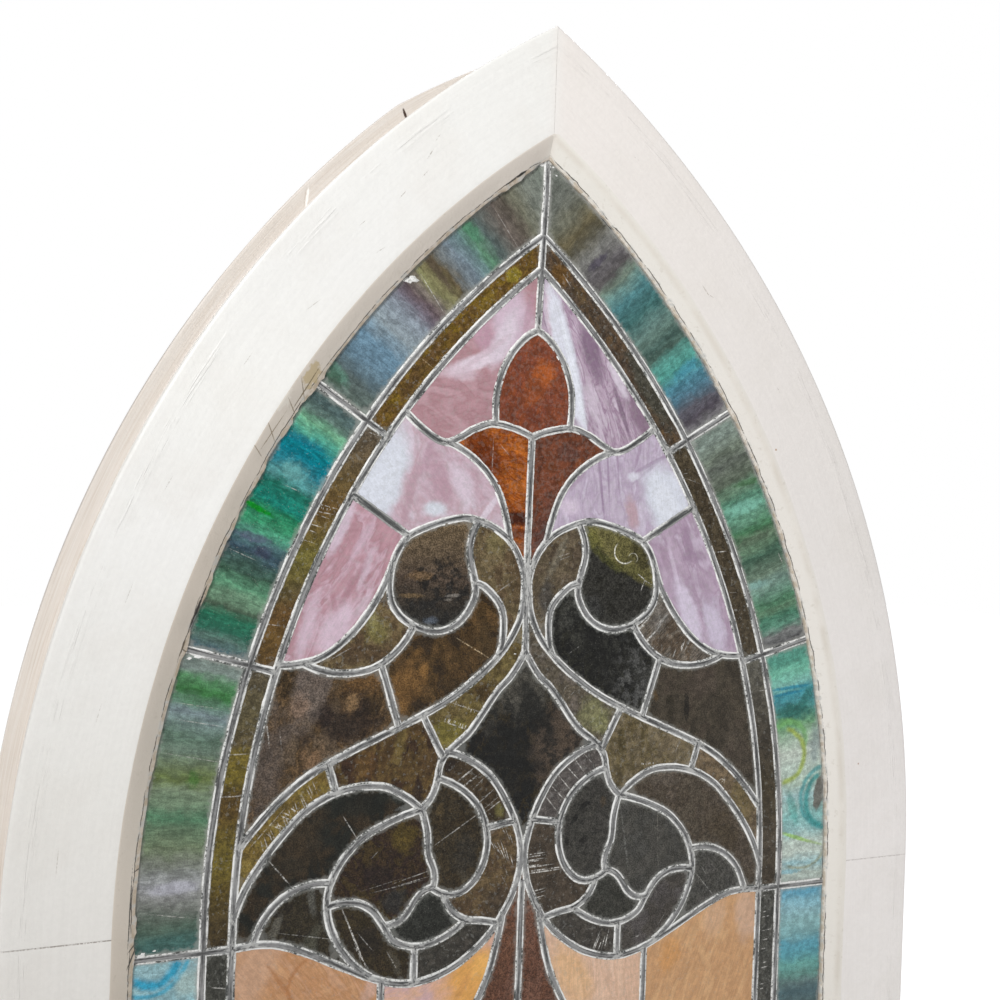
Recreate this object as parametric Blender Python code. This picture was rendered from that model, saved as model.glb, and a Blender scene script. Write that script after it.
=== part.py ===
"""Pointed-arch leaded window in a white painted timber sash.

X runs across the window, Y from its front to its back and Z up. The origin is the middle of the
lip's underside, on which the window stands in its opening. The design is drawn flat in millimetres,
x from the middle and z from the spring line, with depths from the sash's front face. It becomes
metres when a mesh is made.
"""
import math

import bmesh
import bpy
from mathutils import Vector
from mathutils.bvhtree import BVHTree
from mathutils.geometry import interpolate_bezier

MM = 0.001
GAP = 0.3                    # between solids that touch

# The arch. Each curved edge is an arc from the spring line to the point, struck from a centre
# on the spring line, this far on the other side of the middle. A radius names an edge, and the
# straight part below the spring line goes on at the same place.
ARC_CENTRE = 400.0
LIP_RADIUS = 767.0           # outer edge of the set-back lip
LIP_STUB = 1.0               # what is left of the lip at the point, past the face's edge
LIP_END = math.radians(54.0)     # the lip runs out at this angle of the arc
LIP_TAPER = math.radians(6.0)
FACE_RADIUS = 755.0          # outer edge of the front face
REBATE_RADIUS = 688.0        # inner edge of the front face
SIGHT_RADIUS = 676.0         # edge of the glass that shows
LEDGE_RADIUS = 672.0         # inner edge of the ledge behind the glass
OUTER_FILLET_RADIUS = 630.0  # lead between the border and the narrow strip
INNER_FILLET_RADIUS = 611.0  # lead between the narrow strip and the middle
EDGE_LEAD_INNER = 674.0      # the lead round the panel's edge
EDGE_LEAD_OUTER = 685.0
GLASS_DROP = 300.0           # from the spring line down to the bottom edge of the glass
SPRING_HEIGHT = GLASS_DROP + LIP_RADIUS - SIGHT_RADIUS
HEAD_STEPS = 18              # chords in an arc of the sash
GLASS_STEPS = 13             # chords in an arc of the glass

# Depths from the sash's front face.
LIP_DEPTH = 24.0
SASH_DEPTH = 44.0
PUTTY_FRONT = 1.0
LEAD_FRONT = 9.0
LEAD_BACK = 14.0
GLASS_FRONT = 10.0
GLASS_BACK = 13.0
LEDGE_DEPTH = LEAD_BACK + GAP
PUTTY_TOE = 0.8              # thickness of the putty's thin edge
ORIGIN_DEPTH = (LIP_DEPTH + SASH_DEPTH) / 2

LEAD_WIDTH = 5.4
TURN_STEP = math.radians(17.0)   # a lead's chords turn by no more than this
CUT_MARGIN = 8.0                 # how far a cutter stands proud of what it cuts
CUT_STEP = 0.01                  # keeps the ends of crossing cutters out of one plane

# Leads across the border.
UPPER_CROSSING = math.radians(32.8)
MIDDLE_CROSSING = math.radians(15.8)
LOWER_CROSSING = -19.0

# The leading bows a little to the left between these heights, most in the middle.
BOW = 5.0
BOW_FOOT = 40.0
BOW_TOP = 520.0
BOW_REACH = INNER_FILLET_RADIUS - ARC_CENTRE

# Leads that each half of the panel has, drawn for x above 0. A smooth line passes through
# the points.
PAIRED_LEADS = {
    "bud_side": [(0, 416), (10, 409.5), (20, 397.5), (27, 383), (30.5, 367), (30, 345)],
    "fleur_top": [(0, 336.5), (30, 345), (46, 340.5), (57, 334), (66.5, 329.3)],
    "brow": [(66.5, 329.3), (77.5, 332), (101, 349.5)],
    "fleur_side": [(66.5, 329.3), (49, 320.5), (34, 307.5), (23.5, 290.5), (15, 259.5)],
    "curl": [(95, 261.5), (55, 275.2), (34, 271.5), (15, 259.5), (3.5, 239), (1.8, 220),
             (5.7, 200), (18, 179), (39.5, 158.5), (69, 139), (154.5, 99.5), (181, 80), (208, 49)],
    "disc": [(95, 261.5), (104, 247.5), (108, 230), (106, 214), (97, 202.5), (83, 195),
             (67.5, 193.5), (53, 200.5), (43.5, 214), (41.5, 225), (47, 252), (41, 272.5)],
    "petal_edge": [(106.5, 241), (114, 222), (128, 200.5), (145, 183.3), (163, 173.7),
                   (188, 171.5)],
    "petal_top": [(95, 261.5), (138, 289.5)],
    "leaf_under": [(89, 197), (112, 171), (141, 164.5), (168, 172)],
    "crescent_under": [(42, 228), (33, 224.5), (20, 209), (18.5, 188), (21.5, 175.5)],
    "field_divider": [(112.5, 170), (98.5, 126)],
    "stem": [(0, 178), (11, 160), (22, 149), (43.5, 120), (58, 108), (65.5, 99), (68.5, 85),
             (72.5, 74.5), (80, 66)],
    "band_cross_upper": [(80.5, 134), (64, 102)],
    "band_cross_lower": [(149.5, 103), (143.5, 83)],
    "scroll_outer": [(80, 66), (103, 82), (120, 85), (138, 83), (154, 77), (170, 65.5),
                     (198, 30.5), (211, 1.5)],
    "scroll_inner": [(80, 66), (118, 52), (135, 37), (145, 19), (147, 2), (141, -19),
                     (129, -37), (114, -49.5)],
    "scroll_branch": [(145, 19), (159, 19.5), (172, 15.7), (183, 8), (191, -2.5),
                      (197.5, -18.8)],
    "eye_under": [(147, 3), (129, 4.2), (116, -1.5), (106, -14), (98, -26), (80, -32.3),
                  (62, -28.5), (44, -17.5)],
    "eye_over": [(69, 9), (79, 5.5), (90, -9), (97, -13.8), (106, -14.5)],
    "eye_tail": [(61, 3), (55, -9), (44, -16.8), (32, -18.8), (18, -22)],
    "heart_stem": [(80, 66), (75.5, 50), (74, 33), (69, 19), (70, 8)],
    "teardrop": [(68.5, 87.5), (50, 79), (35, 63), (28.8, 41), (32.5, 20), (43, 6.5),
                 (55, 2.5), (70, 8.5)],
    "ring": [(63, 106), (47.5, 101.5), (28, 87.8), (14, 67.5), (5, 46), (1.5, 26), (5.5, 3),
             (19, -22.5), (35, -39), (55, -51.8), (80, -58), (105, -54), (165, -25.3),
             (185, -18.8), (211, LOWER_CROSSING)],
    "ring_cross": [(29, 49), (6.5, 52.5)],
    "ring_foot_cross": [(82, -32), (82, -58)],
    "field_drop": [(106, -54), (106, -236)],
    "stalk_edge": [(14.5, -14), (18, -34), (25.5, -62), (46, -105), (60, -140), (69, -185),
                   (72, -236)],
}
# Straight leads down the middle, as their top and bottom.
MIDDLE_LEADS = {"crown": (546, 416), "spine": (336.5, 178), "stalk": (8, -302)}
MIDDLE_PARTS = 4             # chords in a middle lead, so that it follows the bow

# Glass colours, as red, green and blue.
TEAL = (0.03, 0.26, 0.22)
GREEN = (0.07, 0.24, 0.14)
GREY_GREEN = (0.15, 0.20, 0.18)
SKY = (0.26, 0.46, 0.60)
BLUE = (0.08, 0.18, 0.27)
PINK = (0.58, 0.38, 0.47)
LAVENDER = (0.47, 0.42, 0.58)
RUST = (0.22, 0.05, 0.02)
ORANGE = (0.40, 0.16, 0.04)
AMBER = (0.20, 0.12, 0.04)
OLIVE = (0.09, 0.07, 0.03)
BROWN = (0.06, 0.035, 0.02)
NEARLY_BLACK = (0.02, 0.018, 0.015)
PEACH = (0.62, 0.33, 0.18)
MAROON = (0.06, 0.025, 0.02)

# Panes that each half has: a point inside the right one, then the left and right colours.
PAIRED_PANES = {
    "border_top": ((80, 440), GREY_GREEN, GREY_GREEN),
    "border_upper": ((193, 270), TEAL, GREEN),
    "border_middle": ((247, 80), GREEN, TEAL),
    "border_lower": ((252, -140), SKY, BLUE),
    "border_foot": ((120, -276), SKY, BLUE),
    "crown": ((60, 390), PINK, LAVENDER),
    "brow": ((70, 300), PINK, LAVENDER),
    "petal": ((135, 225), PINK, PINK),
    "fleur": ((27, 320), ORANGE, RUST),
    "disc": ((75, 235), OLIVE, NEARLY_BLACK),
    "crescent": ((28, 245), OLIVE, OLIVE),
    "leaf": ((125, 188), OLIVE, OLIVE),
    "body": ((65, 170), BROWN, NEARLY_BLACK),
    "field": ((160, 135), BROWN, NEARLY_BLACK),
    "band_upper": ((50, 130), AMBER, OLIVE),
    "band_middle": ((110, 105), OLIVE, OLIVE),
    "band_lower": ((172, 77), AMBER, OLIVE),
    "scroll_field": ((150, 60), BROWN, NEARLY_BLACK),
    "scroll_heart": ((110, 30), BROWN, NEARLY_BLACK),
    "scroll_tip": ((165, -5), BROWN, NEARLY_BLACK),
    "scroll_foot": ((115, -30), BROWN, BROWN),
    "teardrop": ((50, 45), BROWN, NEARLY_BLACK),
    "lower_inner": ((75, -130), PEACH, PEACH),
    "lower_outer": ((160, -130), PEACH, PEACH),
    "stalk": ((20, -150), MAROON, MAROON),
}
MIDDLE_PANES = {
    "bud": ((0, 370), RUST),
    "diamond": ((0, 110), NEARLY_BLACK),
}
# Points inside the narrow strips and the smallest panes, which are one solid with the leading.
LEADED_IN = [(60, 415), (164, 257), (215, 76), (220, -140), (120, -244),
             (75, -15), (25, 70), (18, 10), (50, -38)]

PAINT = (0.80, 0.79, 0.77)
PUTTY = (0.55, 0.51, 0.47)
LEAD = (0.20, 0.21, 0.22)


def bowed(x, z):
    """Move a point of the leading with the bow."""
    if not BOW_FOOT < z < BOW_TOP or abs(x) > BOW_REACH:
        return x, z
    rise = math.sin(math.pi * (z - BOW_FOOT) / (BOW_TOP - BOW_FOOT))
    return x - BOW * rise * (1 - abs(x) / BOW_REACH), z


def bottom_of(radius):
    """Height of the bottom edge that goes with an arc's radius."""
    return SIGHT_RADIUS - radius - GLASS_DROP


def arch_outline(radius, steps=GLASS_STEPS):
    """Closed outline of the arch, from the right bottom corner over the point to the left one."""
    top = math.acos(ARC_CENTRE / radius)
    right = [(radius - ARC_CENTRE, bottom_of(radius))]
    for step in range(steps + 1):
        angle = top * step / steps
        right.append((radius * math.cos(angle) - ARC_CENTRE, radius * math.sin(angle)))
    left = [(-x, z) for x, z in reversed(right[:-1])]
    return right + left


def smooth_line(points):
    """Bezier line through the points, in chords that turn by about TURN_STEP at most."""
    knots = [Vector(point) for point in points]
    if len(knots) == 2:
        return points
    ways = [(after - before).normalized() for before, after in zip(knots, knots[2:])]
    first = (knots[1] - knots[0]).normalized()
    last = (knots[-1] - knots[-2]).normalized()
    ways.insert(0, -ways[0].reflect(first))
    ways.append(-ways[-1].reflect(last))
    line = [knots[0]]
    for start, end, way, next_way in zip(knots, knots[1:], ways, ways[1:]):
        chord = end - start
        reach = chord.length / 3
        turn = abs(way.angle_signed(chord)) + abs(chord.angle_signed(next_way))
        count = max(1, math.ceil(turn / TURN_STEP)) + 1
        span = interpolate_bezier(start, start + way * reach, end - next_way * reach, end, count)
        line.extend(span[1:])
    return [(point.x, point.y) for point in line]


def offset_line(points, distance):
    """The line moved sideways, with mitred turns."""
    spots = [Vector(point) for point in points]
    ways = [(end - start).normalized() for start, end in zip(spots, spots[1:])]
    moved = []
    for spot, way, next_way in zip(spots, [ways[0]] + ways, ways + [ways[-1]]):
        across = (way + next_way).normalized().orthogonal()
        mitre = across.dot(way.orthogonal())
        moved.append(tuple(spot + across * distance / mitre))
    return moved


def to_world(x, depth, z):
    """Drawing millimetres to metres about the origin."""
    return Vector((x, depth - ORIGIN_DEPTH, z + SPRING_HEIGHT)) * MM


def loft(name, rows, ring=False):
    """Closed mesh over rows of matching points, one row for each corner of a section."""
    work = bmesh.new()
    grid = [[work.verts.new(to_world(*point)) for point in row] for row in rows]
    stations = len(rows[0])
    for row, beside in zip(grid, grid[1:] + grid[:1]):
        for station in range(stations if ring else stations - 1):
            following = (station + 1) % stations
            work.faces.new((row[station], row[following], beside[following], beside[station]))
    if not ring:
        work.faces.new([row[0] for row in grid])
        work.faces.new([row[-1] for row in grid])
    return finished_mesh(name, work)


def finished_mesh(name, work):
    """Mesh of the closed bmesh, its faces turned outwards."""
    bmesh.ops.recalc_face_normals(work, faces=work.faces)
    mesh = bpy.data.meshes.new(name)
    work.to_mesh(mesh)
    work.free()
    return mesh


def sheet(name, outline, front, back):
    """Flat sheet with the outline, between two depths."""
    curve = bpy.data.curves.new(name, "CURVE")
    curve.dimensions = "2D"
    curve.fill_mode = "BOTH"
    curve.extrude = (back - front) / 2 * MM
    spline = curve.splines.new("POLY")
    spline.points.add(len(outline) - 1)
    spline.use_cyclic_u = True
    for point, (x, z) in zip(spline.points, outline):
        point.co = (x * MM, z * MM, 0, 1)
    drawn = bpy.data.objects.new(name, curve)
    drawn.rotation_euler.x = math.pi / 2
    drawn.location = to_world(0, (front + back) / 2, 0)
    bpy.context.scene.collection.objects.link(drawn)
    mesh = evaluated_mesh(drawn)
    work = bmesh.new()
    work.from_mesh(mesh)
    work.transform(drawn.matrix_world)
    bpy.data.objects.remove(drawn)
    bmesh.ops.remove_doubles(work, verts=work.verts, dist=0.00001)
    return finished_mesh(name, work)


def evaluated_mesh(item):
    """The object's mesh with its modifiers applied."""
    bpy.context.view_layer.update()
    depsgraph = bpy.context.evaluated_depsgraph_get()
    return bpy.data.meshes.new_from_object(item.evaluated_get(depsgraph))


def add_piece(name, mesh, collection, colour, roughness, metallic=0.0):
    """Object with a material of its own."""
    item = bpy.data.objects.new(name, mesh)
    collection.objects.link(item)
    material = bpy.data.materials.new(name)
    material.use_nodes = True
    shader = material.node_tree.nodes["Principled BSDF"]
    shader.inputs["Base Color"].default_value = (*colour, 1)
    shader.inputs["Roughness"].default_value = roughness
    shader.inputs["Metallic"].default_value = metallic
    mesh.materials.clear()
    mesh.materials.append(material)
    return item


def add_cutter(mesh, collection):
    """Object that only cuts others."""
    item = bpy.data.objects.new(mesh.name, mesh)
    collection.objects.link(item)
    item.hide_render = True
    item.display_type = "WIRE"
    return item


def subtract(item, cutters):
    """Cut every object of the collection out of the item."""
    cut = item.modifiers.new("cut", "BOOLEAN")
    cut.operation = "DIFFERENCE"
    cut.solver = "EXACT"
    cut.operand_type = "COLLECTION"
    cut.collection = cutters


def new_collection(name):
    """Collection linked to the scene."""
    collection = bpy.data.collections.new(name)
    bpy.context.scene.collection.children.link(collection)
    return collection


def radial_line(angle):
    """Straight lead across the border, along an arc's radius."""
    return [(radius * math.cos(angle) - ARC_CENTRE, radius * math.sin(angle))
            for radius in (INNER_FILLET_RADIUS, EDGE_LEAD_OUTER)]


def border_lines():
    """The straight leads that divide the border and the narrow strip, on the right."""
    inner = INNER_FILLET_RADIUS
    outer = EDGE_LEAD_OUTER
    return [
        radial_line(UPPER_CROSSING),
        radial_line(MIDDLE_CROSSING),
        [(inner - ARC_CENTRE, LOWER_CROSSING), (outer - ARC_CENTRE, LOWER_CROSSING)],
        [(inner - ARC_CENTRE, bottom_of(inner)), (outer - ARC_CENTRE, bottom_of(outer))],
    ]


def lead_lines():
    """Middle lines of all open leads in both halves, as chords."""
    right = [smooth_line(points) for points in PAIRED_LEADS.values()] + border_lines()
    left = [[(-x, z) for x, z in line] for line in right]
    middle = []
    for top, bottom in MIDDLE_LEADS.values():
        drop = (bottom - top) / MIDDLE_PARTS
        middle.append([(0, top + drop * part) for part in range(MIDDLE_PARTS + 1)])
    return [[bowed(x, z) for x, z in line] for line in right + left + middle]


def lead_cutters(width, collection):
    """A deep strip along every lead, as wide as what the lead takes out of the glass."""
    front = LEAD_FRONT - CUT_MARGIN
    back = LEAD_BACK + CUT_MARGIN
    corners = [(width / 2, front), (-width / 2, front), (-width / 2, back), (width / 2, back)]
    for number, line in enumerate(lead_lines()):
        deeper = number * CUT_STEP
        rows = []
        for side, depth in corners:
            shift = deeper if depth == back else -deeper
            rows.append([(x, depth + shift, z) for x, z in offset_line(line, side)])
        add_cutter(loft("lead_strip", rows), collection)
    for radius in (OUTER_FILLET_RADIUS, INNER_FILLET_RADIUS):
        deeper = radius * CUT_STEP
        rows = []
        for side, depth in corners:
            shift = deeper if depth == back else -deeper
            rows.append([(x, depth + shift, z) for x, z in arch_outline(radius + side)])
        add_cutter(loft("fillet_strip", rows, ring=True), collection)


def cut_along_leads(name, width, front, back):
    """Mesh of the sheet inside the edge lead, cut apart along the leads."""
    strips = new_collection(name + "_strips")
    lead_cutters(width, strips)
    edge = EDGE_LEAD_INNER - (width - LEAD_WIDTH) / 2
    blank = add_cutter(sheet(name, arch_outline(edge), front, back), bpy.context.scene.collection)
    subtract(blank, strips)
    mesh = evaluated_mesh(blank)
    bpy.data.objects.remove(blank)
    return mesh


def piece_at(mesh, x, z):
    """Bmesh of the one loose piece of a cut sheet that holds the point."""
    work = bmesh.new()
    work.from_mesh(mesh)
    x, z = bowed(x, z)
    ahead = to_world(x, -SASH_DEPTH, z)
    hit = BVHTree.FromBMesh(work).ray_cast(ahead, Vector((0, 1, 0)))[2]
    work.faces.ensure_lookup_table()
    piece = {work.faces[hit]}
    fresh = set(piece)
    while fresh:
        beside = {face for known in fresh for edge in known.edges for face in edge.link_faces}
        fresh = beside - piece
        piece |= fresh
    others = [face for face in work.faces if face not in piece]
    bmesh.ops.delete(work, geom=others, context="FACES")
    flat = math.radians(0.5)
    bmesh.ops.dissolve_limit(work, angle_limit=flat, verts=work.verts, edges=work.edges)
    return work


def move_faces(work, front, back):
    """Move a flat piece's front and back faces to new depths."""
    middle = to_world(0, (LEAD_FRONT + LEAD_BACK) / 2, 0).y
    for vertex in work.verts:
        depth = front if vertex.co.y < middle else back
        vertex.co.y = to_world(0, depth, 0).y


def pane_list():
    """Every pane that is a solid of its own: name, point inside and colour."""
    panes = []
    for name, ((x, z), left, right) in PAIRED_PANES.items():
        panes.append((name + "_pane_left", -x, z, left))
        panes.append((name + "_pane_right", x, z, right))
    for name, ((x, z), colour) in MIDDLE_PANES.items():
        panes.append((name + "_pane", x, z, colour))
    return panes


def build_glass(window):
    """The panes, each a GAP short of the lead round it."""
    glass = cut_along_leads("glass", LEAD_WIDTH + 2 * GAP, GLASS_FRONT, GLASS_BACK)
    for name, x, z, colour in pane_list():
        pane = finished_mesh(name, piece_at(glass, x, z))
        add_piece(name, pane, window, colour, roughness=0.12)


def build_leading(window):
    """The soldered net of leads, with the strips and small panes that are one with it."""
    proud_front = LEAD_FRONT - 1
    proud_back = LEAD_BACK + 1
    holes = cut_along_leads("holes", LEAD_WIDTH, proud_front, proud_back)
    openings = new_collection("lead_openings")
    for name, x, z, _ in pane_list():
        add_cutter(finished_mesh("hole_" + name, piece_at(holes, x, z)), openings)
    for x, z in LEADED_IN:
        for side in (1, -1):
            for front, back in ((proud_front, GLASS_FRONT), (GLASS_BACK, proud_back)):
                pocket = piece_at(holes, side * x, z)
                move_faces(pocket, front, back)
                add_cutter(finished_mesh("pocket", pocket), openings)
    net = sheet("lead_cames", arch_outline(EDGE_LEAD_OUTER), LEAD_FRONT, LEAD_BACK)
    cames = add_piece("lead_cames", net, window, LEAD, roughness=0.45, metallic=0.7)
    subtract(cames, openings)


def sash_section():
    """Corners of a sash member, as radius and depth."""
    return [(FACE_RADIUS, 0), (FACE_RADIUS, LIP_DEPTH), (LIP_RADIUS, LIP_DEPTH),
            (LIP_RADIUS, SASH_DEPTH), (LEDGE_RADIUS, SASH_DEPTH), (LEDGE_RADIUS, LEDGE_DEPTH),
            (REBATE_RADIUS, LEDGE_DEPTH), (REBATE_RADIUS, 0)]


def edge_at(radius, angle):
    """The radius itself, or for the lip's edge what its taper leaves of it."""
    if radius != LIP_RADIUS:
        return radius
    share = min(1.0, max(0.0, (LIP_END - angle) / LIP_TAPER))
    stub = FACE_RADIUS + LIP_STUB
    return stub + (LIP_RADIUS - stub) * share


def head_path(radius):
    """From the spring line up to the mitre at the point."""
    start = math.asin(GAP / 2 / radius)
    end = math.acos((ARC_CENTRE + GAP / 2) / edge_at(radius, LIP_END))
    path = []
    for step in range(HEAD_STEPS + 1):
        angle = start + (end - start) * step / HEAD_STEPS
        edge = edge_at(radius, angle)
        path.append((edge * math.cos(angle) - ARC_CENTRE, edge * math.sin(angle)))
    return path


def stile_path(radius):
    """From the spring line down to the mitred corner."""
    x = radius - ARC_CENTRE
    return [(x, -GAP / 2), (x, bottom_of(radius) + GAP * math.sqrt(0.5))]


def rail_path(radius):
    """Along the bottom, from mitre to mitre."""
    end = radius - ARC_CENTRE - GAP * math.sqrt(0.5)
    return [(-end, bottom_of(radius)), (end, bottom_of(radius))]


def add_member(name, path, side, window):
    """A sash member along a path, on the right (1) or the left (-1)."""
    rows = []
    for radius, depth in sash_section():
        rows.append([(side * x, depth, z) for x, z in path(radius)])
    add_piece(name, loft(name, rows), window, PAINT, roughness=0.45)


def build_sash(window):
    """Two curved heads, two stiles and a bottom rail."""
    for hand, side in (("left", -1), ("right", 1)):
        add_member("curved_head_" + hand, head_path, side, window)
        add_member("stile_" + hand, stile_path, side, window)
    add_member("bottom_rail", rail_path, 1, window)


def build_putty(window):
    """The bevelled bead of putty all round, from the face down to the glass."""
    back = LEAD_FRONT - GAP
    section = [(REBATE_RADIUS - GAP, PUTTY_FRONT), (REBATE_RADIUS - GAP, back),
               (SIGHT_RADIUS, back), (SIGHT_RADIUS, back - PUTTY_TOE)]
    rows = []
    for radius, depth in section:
        rows.append([(x, depth, z) for x, z in arch_outline(radius, HEAD_STEPS)])
    add_piece("glazing_putty", loft("glazing_putty", rows, ring=True), window, PUTTY, roughness=0.6)


def main():
    """Build the window."""
    for item in list(bpy.data.objects):
        bpy.data.objects.remove(item)
    window = new_collection("stained_glass_window")
    build_sash(window)
    build_putty(window)
    build_glass(window)
    build_leading(window)


main()
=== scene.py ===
"""Looks of the stained glass window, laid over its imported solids.

The pattern is drawn flat in millimetres: x from the middle and z from the spring line, with
depths from the sash's front face. It becomes metres when a mesh is made.
"""

import math

import bmesh
import bpy
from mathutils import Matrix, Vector, noise
from mathutils.geometry import delaunay_2d_cdt, interpolate_bezier
from mathutils.kdtree import KDTree


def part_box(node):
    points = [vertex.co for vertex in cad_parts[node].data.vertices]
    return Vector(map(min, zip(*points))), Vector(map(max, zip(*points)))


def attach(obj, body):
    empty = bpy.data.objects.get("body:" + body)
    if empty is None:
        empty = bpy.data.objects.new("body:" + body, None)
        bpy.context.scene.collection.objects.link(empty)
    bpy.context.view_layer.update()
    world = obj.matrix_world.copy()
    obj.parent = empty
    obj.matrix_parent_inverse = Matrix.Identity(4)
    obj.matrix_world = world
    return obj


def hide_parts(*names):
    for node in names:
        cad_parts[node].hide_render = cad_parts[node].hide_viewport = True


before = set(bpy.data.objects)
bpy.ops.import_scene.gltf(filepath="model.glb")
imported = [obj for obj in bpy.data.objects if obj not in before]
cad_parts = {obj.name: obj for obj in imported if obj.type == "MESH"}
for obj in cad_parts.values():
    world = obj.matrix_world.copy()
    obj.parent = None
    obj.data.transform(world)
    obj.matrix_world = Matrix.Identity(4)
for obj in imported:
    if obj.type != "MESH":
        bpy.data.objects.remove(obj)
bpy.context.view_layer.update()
BODY = "root"
MM = 0.001

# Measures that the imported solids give.
STILE_LOW, STILE_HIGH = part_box("stile_right")
LEAD_LOW, LEAD_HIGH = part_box("lead_cames")
PANE_LOW, PANE_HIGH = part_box("bud_pane")
PUTTY_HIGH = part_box("glazing_putty")[1]
FRONT = STILE_LOW.y
GAP = 0.3                    # between neighbouring solids, in millimetres
SPRING = STILE_HIGH.z + GAP / 2 * MM
ARC_CENTRE = 400.0           # each arc is struck from this far on the other side of the middle
LIP_RADIUS = ARC_CENTRE + STILE_HIGH.x / MM
LEDGE_RADIUS = ARC_CENTRE + STILE_LOW.x / MM
REBATE_RADIUS = ARC_CENTRE + PUTTY_HIGH.x / MM
EDGE_LEAD_OUTER = ARC_CENTRE + LEAD_HIGH.x / MM
SASH_DEPTH = (STILE_HIGH.y - FRONT) / MM
LEAD_FRONT = (LEAD_LOW.y - FRONT) / MM
LEAD_BACK = (LEAD_HIGH.y - FRONT) / MM
GLASS_FRONT = (PANE_LOW.y - FRONT) / MM
GLASS_BACK = (PANE_HIGH.y - FRONT) / MM

# Other edges of the arch, named as the radii of their arcs.
FACE_RADIUS = LIP_RADIUS - 12.0
SIGHT_RADIUS = LEDGE_RADIUS + 4.0
EDGE_LEAD_INNER = LEDGE_RADIUS + 2.0
OUTER_FILLET_RADIUS = 630.0
INNER_FILLET_RADIUS = 611.0
BORDER_RADIUS = (OUTER_FILLET_RADIUS + REBATE_RADIUS) / 2
GLASS_DROP = 300.0           # from the spring line to the lowest glass that shows

# Leads across the border.
UPPER_CROSSING = math.radians(32.8)
MIDDLE_CROSSING = math.radians(15.8)
LOWER_CROSSING = -19.0

# The leading bows a little to the left between these heights, most in the middle.
BOW = 5.0
BOW_FOOT = 40.0
BOW_TOP = 520.0
BOW_REACH = INNER_FILLET_RADIUS - ARC_CENTRE

# Leads that each half of the panel has, drawn for x above 0. A smooth line passes through
# the points.
PAIRED_LEADS = {
    "bud_side": [(0, 416), (10, 409.5), (20, 397.5), (27, 383), (30.5, 367), (30, 345)],
    "fleur_top": [(0, 336.5), (30, 345), (46, 340.5), (57, 334), (66.5, 329.3)],
    "brow": [(66.5, 329.3), (77.5, 332), (101, 349.5)],
    "fleur_side": [(66.5, 329.3), (49, 320.5), (34, 307.5), (23.5, 290.5), (15, 259.5)],
    "curl": [(95, 261.5), (55, 275.2), (34, 271.5), (15, 259.5), (3.5, 239), (1.8, 220),
             (5.7, 200), (18, 179), (39.5, 158.5), (69, 139), (154.5, 99.5), (181, 80), (208, 49)],
    "disc": [(95, 261.5), (104, 247.5), (108, 230), (106, 214), (97, 202.5), (83, 195),
             (67.5, 193.5), (53, 200.5), (43.5, 214), (41.5, 225), (47, 252), (41, 272.5)],
    "petal_edge": [(106.5, 241), (114, 222), (128, 200.5), (145, 183.3), (163, 173.7),
                   (188, 171.5)],
    "petal_top": [(95, 261.5), (138, 289.5)],
    "leaf_under": [(89, 197), (112, 171), (141, 164.5), (168, 172)],
    "crescent_under": [(42, 228), (33, 224.5), (20, 209), (18.5, 188), (21.5, 175.5)],
    "field_divider": [(112.5, 170), (98.5, 126)],
    "stem": [(0, 178), (11, 160), (22, 149), (43.5, 120), (58, 108), (65.5, 99), (68.5, 85),
             (72.5, 74.5), (80, 66)],
    "band_cross_upper": [(80.5, 134), (64, 102)],
    "band_cross_lower": [(149.5, 103), (143.5, 83)],
    "scroll_outer": [(80, 66), (103, 82), (120, 85), (138, 83), (154, 77), (170, 65.5),
                     (198, 30.5), (211, 1.5)],
    "scroll_inner": [(80, 66), (118, 52), (135, 37), (145, 19), (147, 2), (141, -19),
                     (129, -37), (114, -49.5)],
    "scroll_branch": [(145, 19), (159, 19.5), (172, 15.7), (183, 8), (191, -2.5),
                      (197.5, -18.8)],
    "eye_under": [(147, 3), (129, 4.2), (116, -1.5), (106, -14), (98, -26), (80, -32.3),
                  (62, -28.5), (44, -17.5)],
    "eye_over": [(69, 9), (79, 5.5), (90, -9), (97, -13.8), (106, -14.5)],
    "eye_tail": [(61, 3), (55, -9), (44, -16.8), (32, -18.8), (18, -22)],
    "heart_stem": [(80, 66), (75.5, 50), (74, 33), (69, 19), (70, 8)],
    "teardrop": [(68.5, 87.5), (50, 79), (35, 63), (28.8, 41), (32.5, 20), (43, 6.5),
                 (55, 2.5), (70, 8.5)],
    "ring": [(63, 106), (47.5, 101.5), (28, 87.8), (14, 67.5), (5, 46), (1.5, 26), (5.5, 3),
             (19, -22.5), (35, -39), (55, -51.8), (80, -58), (105, -54), (165, -25.3),
             (185, -18.8), (211, LOWER_CROSSING)],
    "ring_cross": [(29, 49), (6.5, 52.5)],
    "ring_foot_cross": [(82, -32), (82, -58)],
    "field_drop": [(106, -54), (106, -236)],
    "stalk_edge": [(14.5, -14), (18, -34), (25.5, -62), (46, -105), (60, -140), (69, -185),
                   (72, -236)],
}
# Straight leads down the middle, as their top and bottom.
MIDDLE_LEADS = {"crown": (546, 416), "spine": (336.5, 178), "stalk": (8, -302)}

CUT_HALF_WIDTH = 1.6         # the panes stop this far from a lead's middle, under it

# ---------------------------------------------------------------- the drawing


def clamp(value, low=0.0, high=1.0):
    """The value, kept from low to high."""
    return min(high, max(low, value))


def bowed(x, z):
    """Move a point of the leading with the bow."""
    if not BOW_FOOT < z < BOW_TOP or abs(x) > BOW_REACH:
        return x, z
    rise = math.sin(math.pi * (z - BOW_FOOT) / (BOW_TOP - BOW_FOOT))
    return x - BOW * rise * (1 - abs(x) / BOW_REACH), z


def bottom_of(radius):
    """Height of the bottom edge that goes with an arc's radius."""
    return SIGHT_RADIUS - radius - GLASS_DROP


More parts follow.
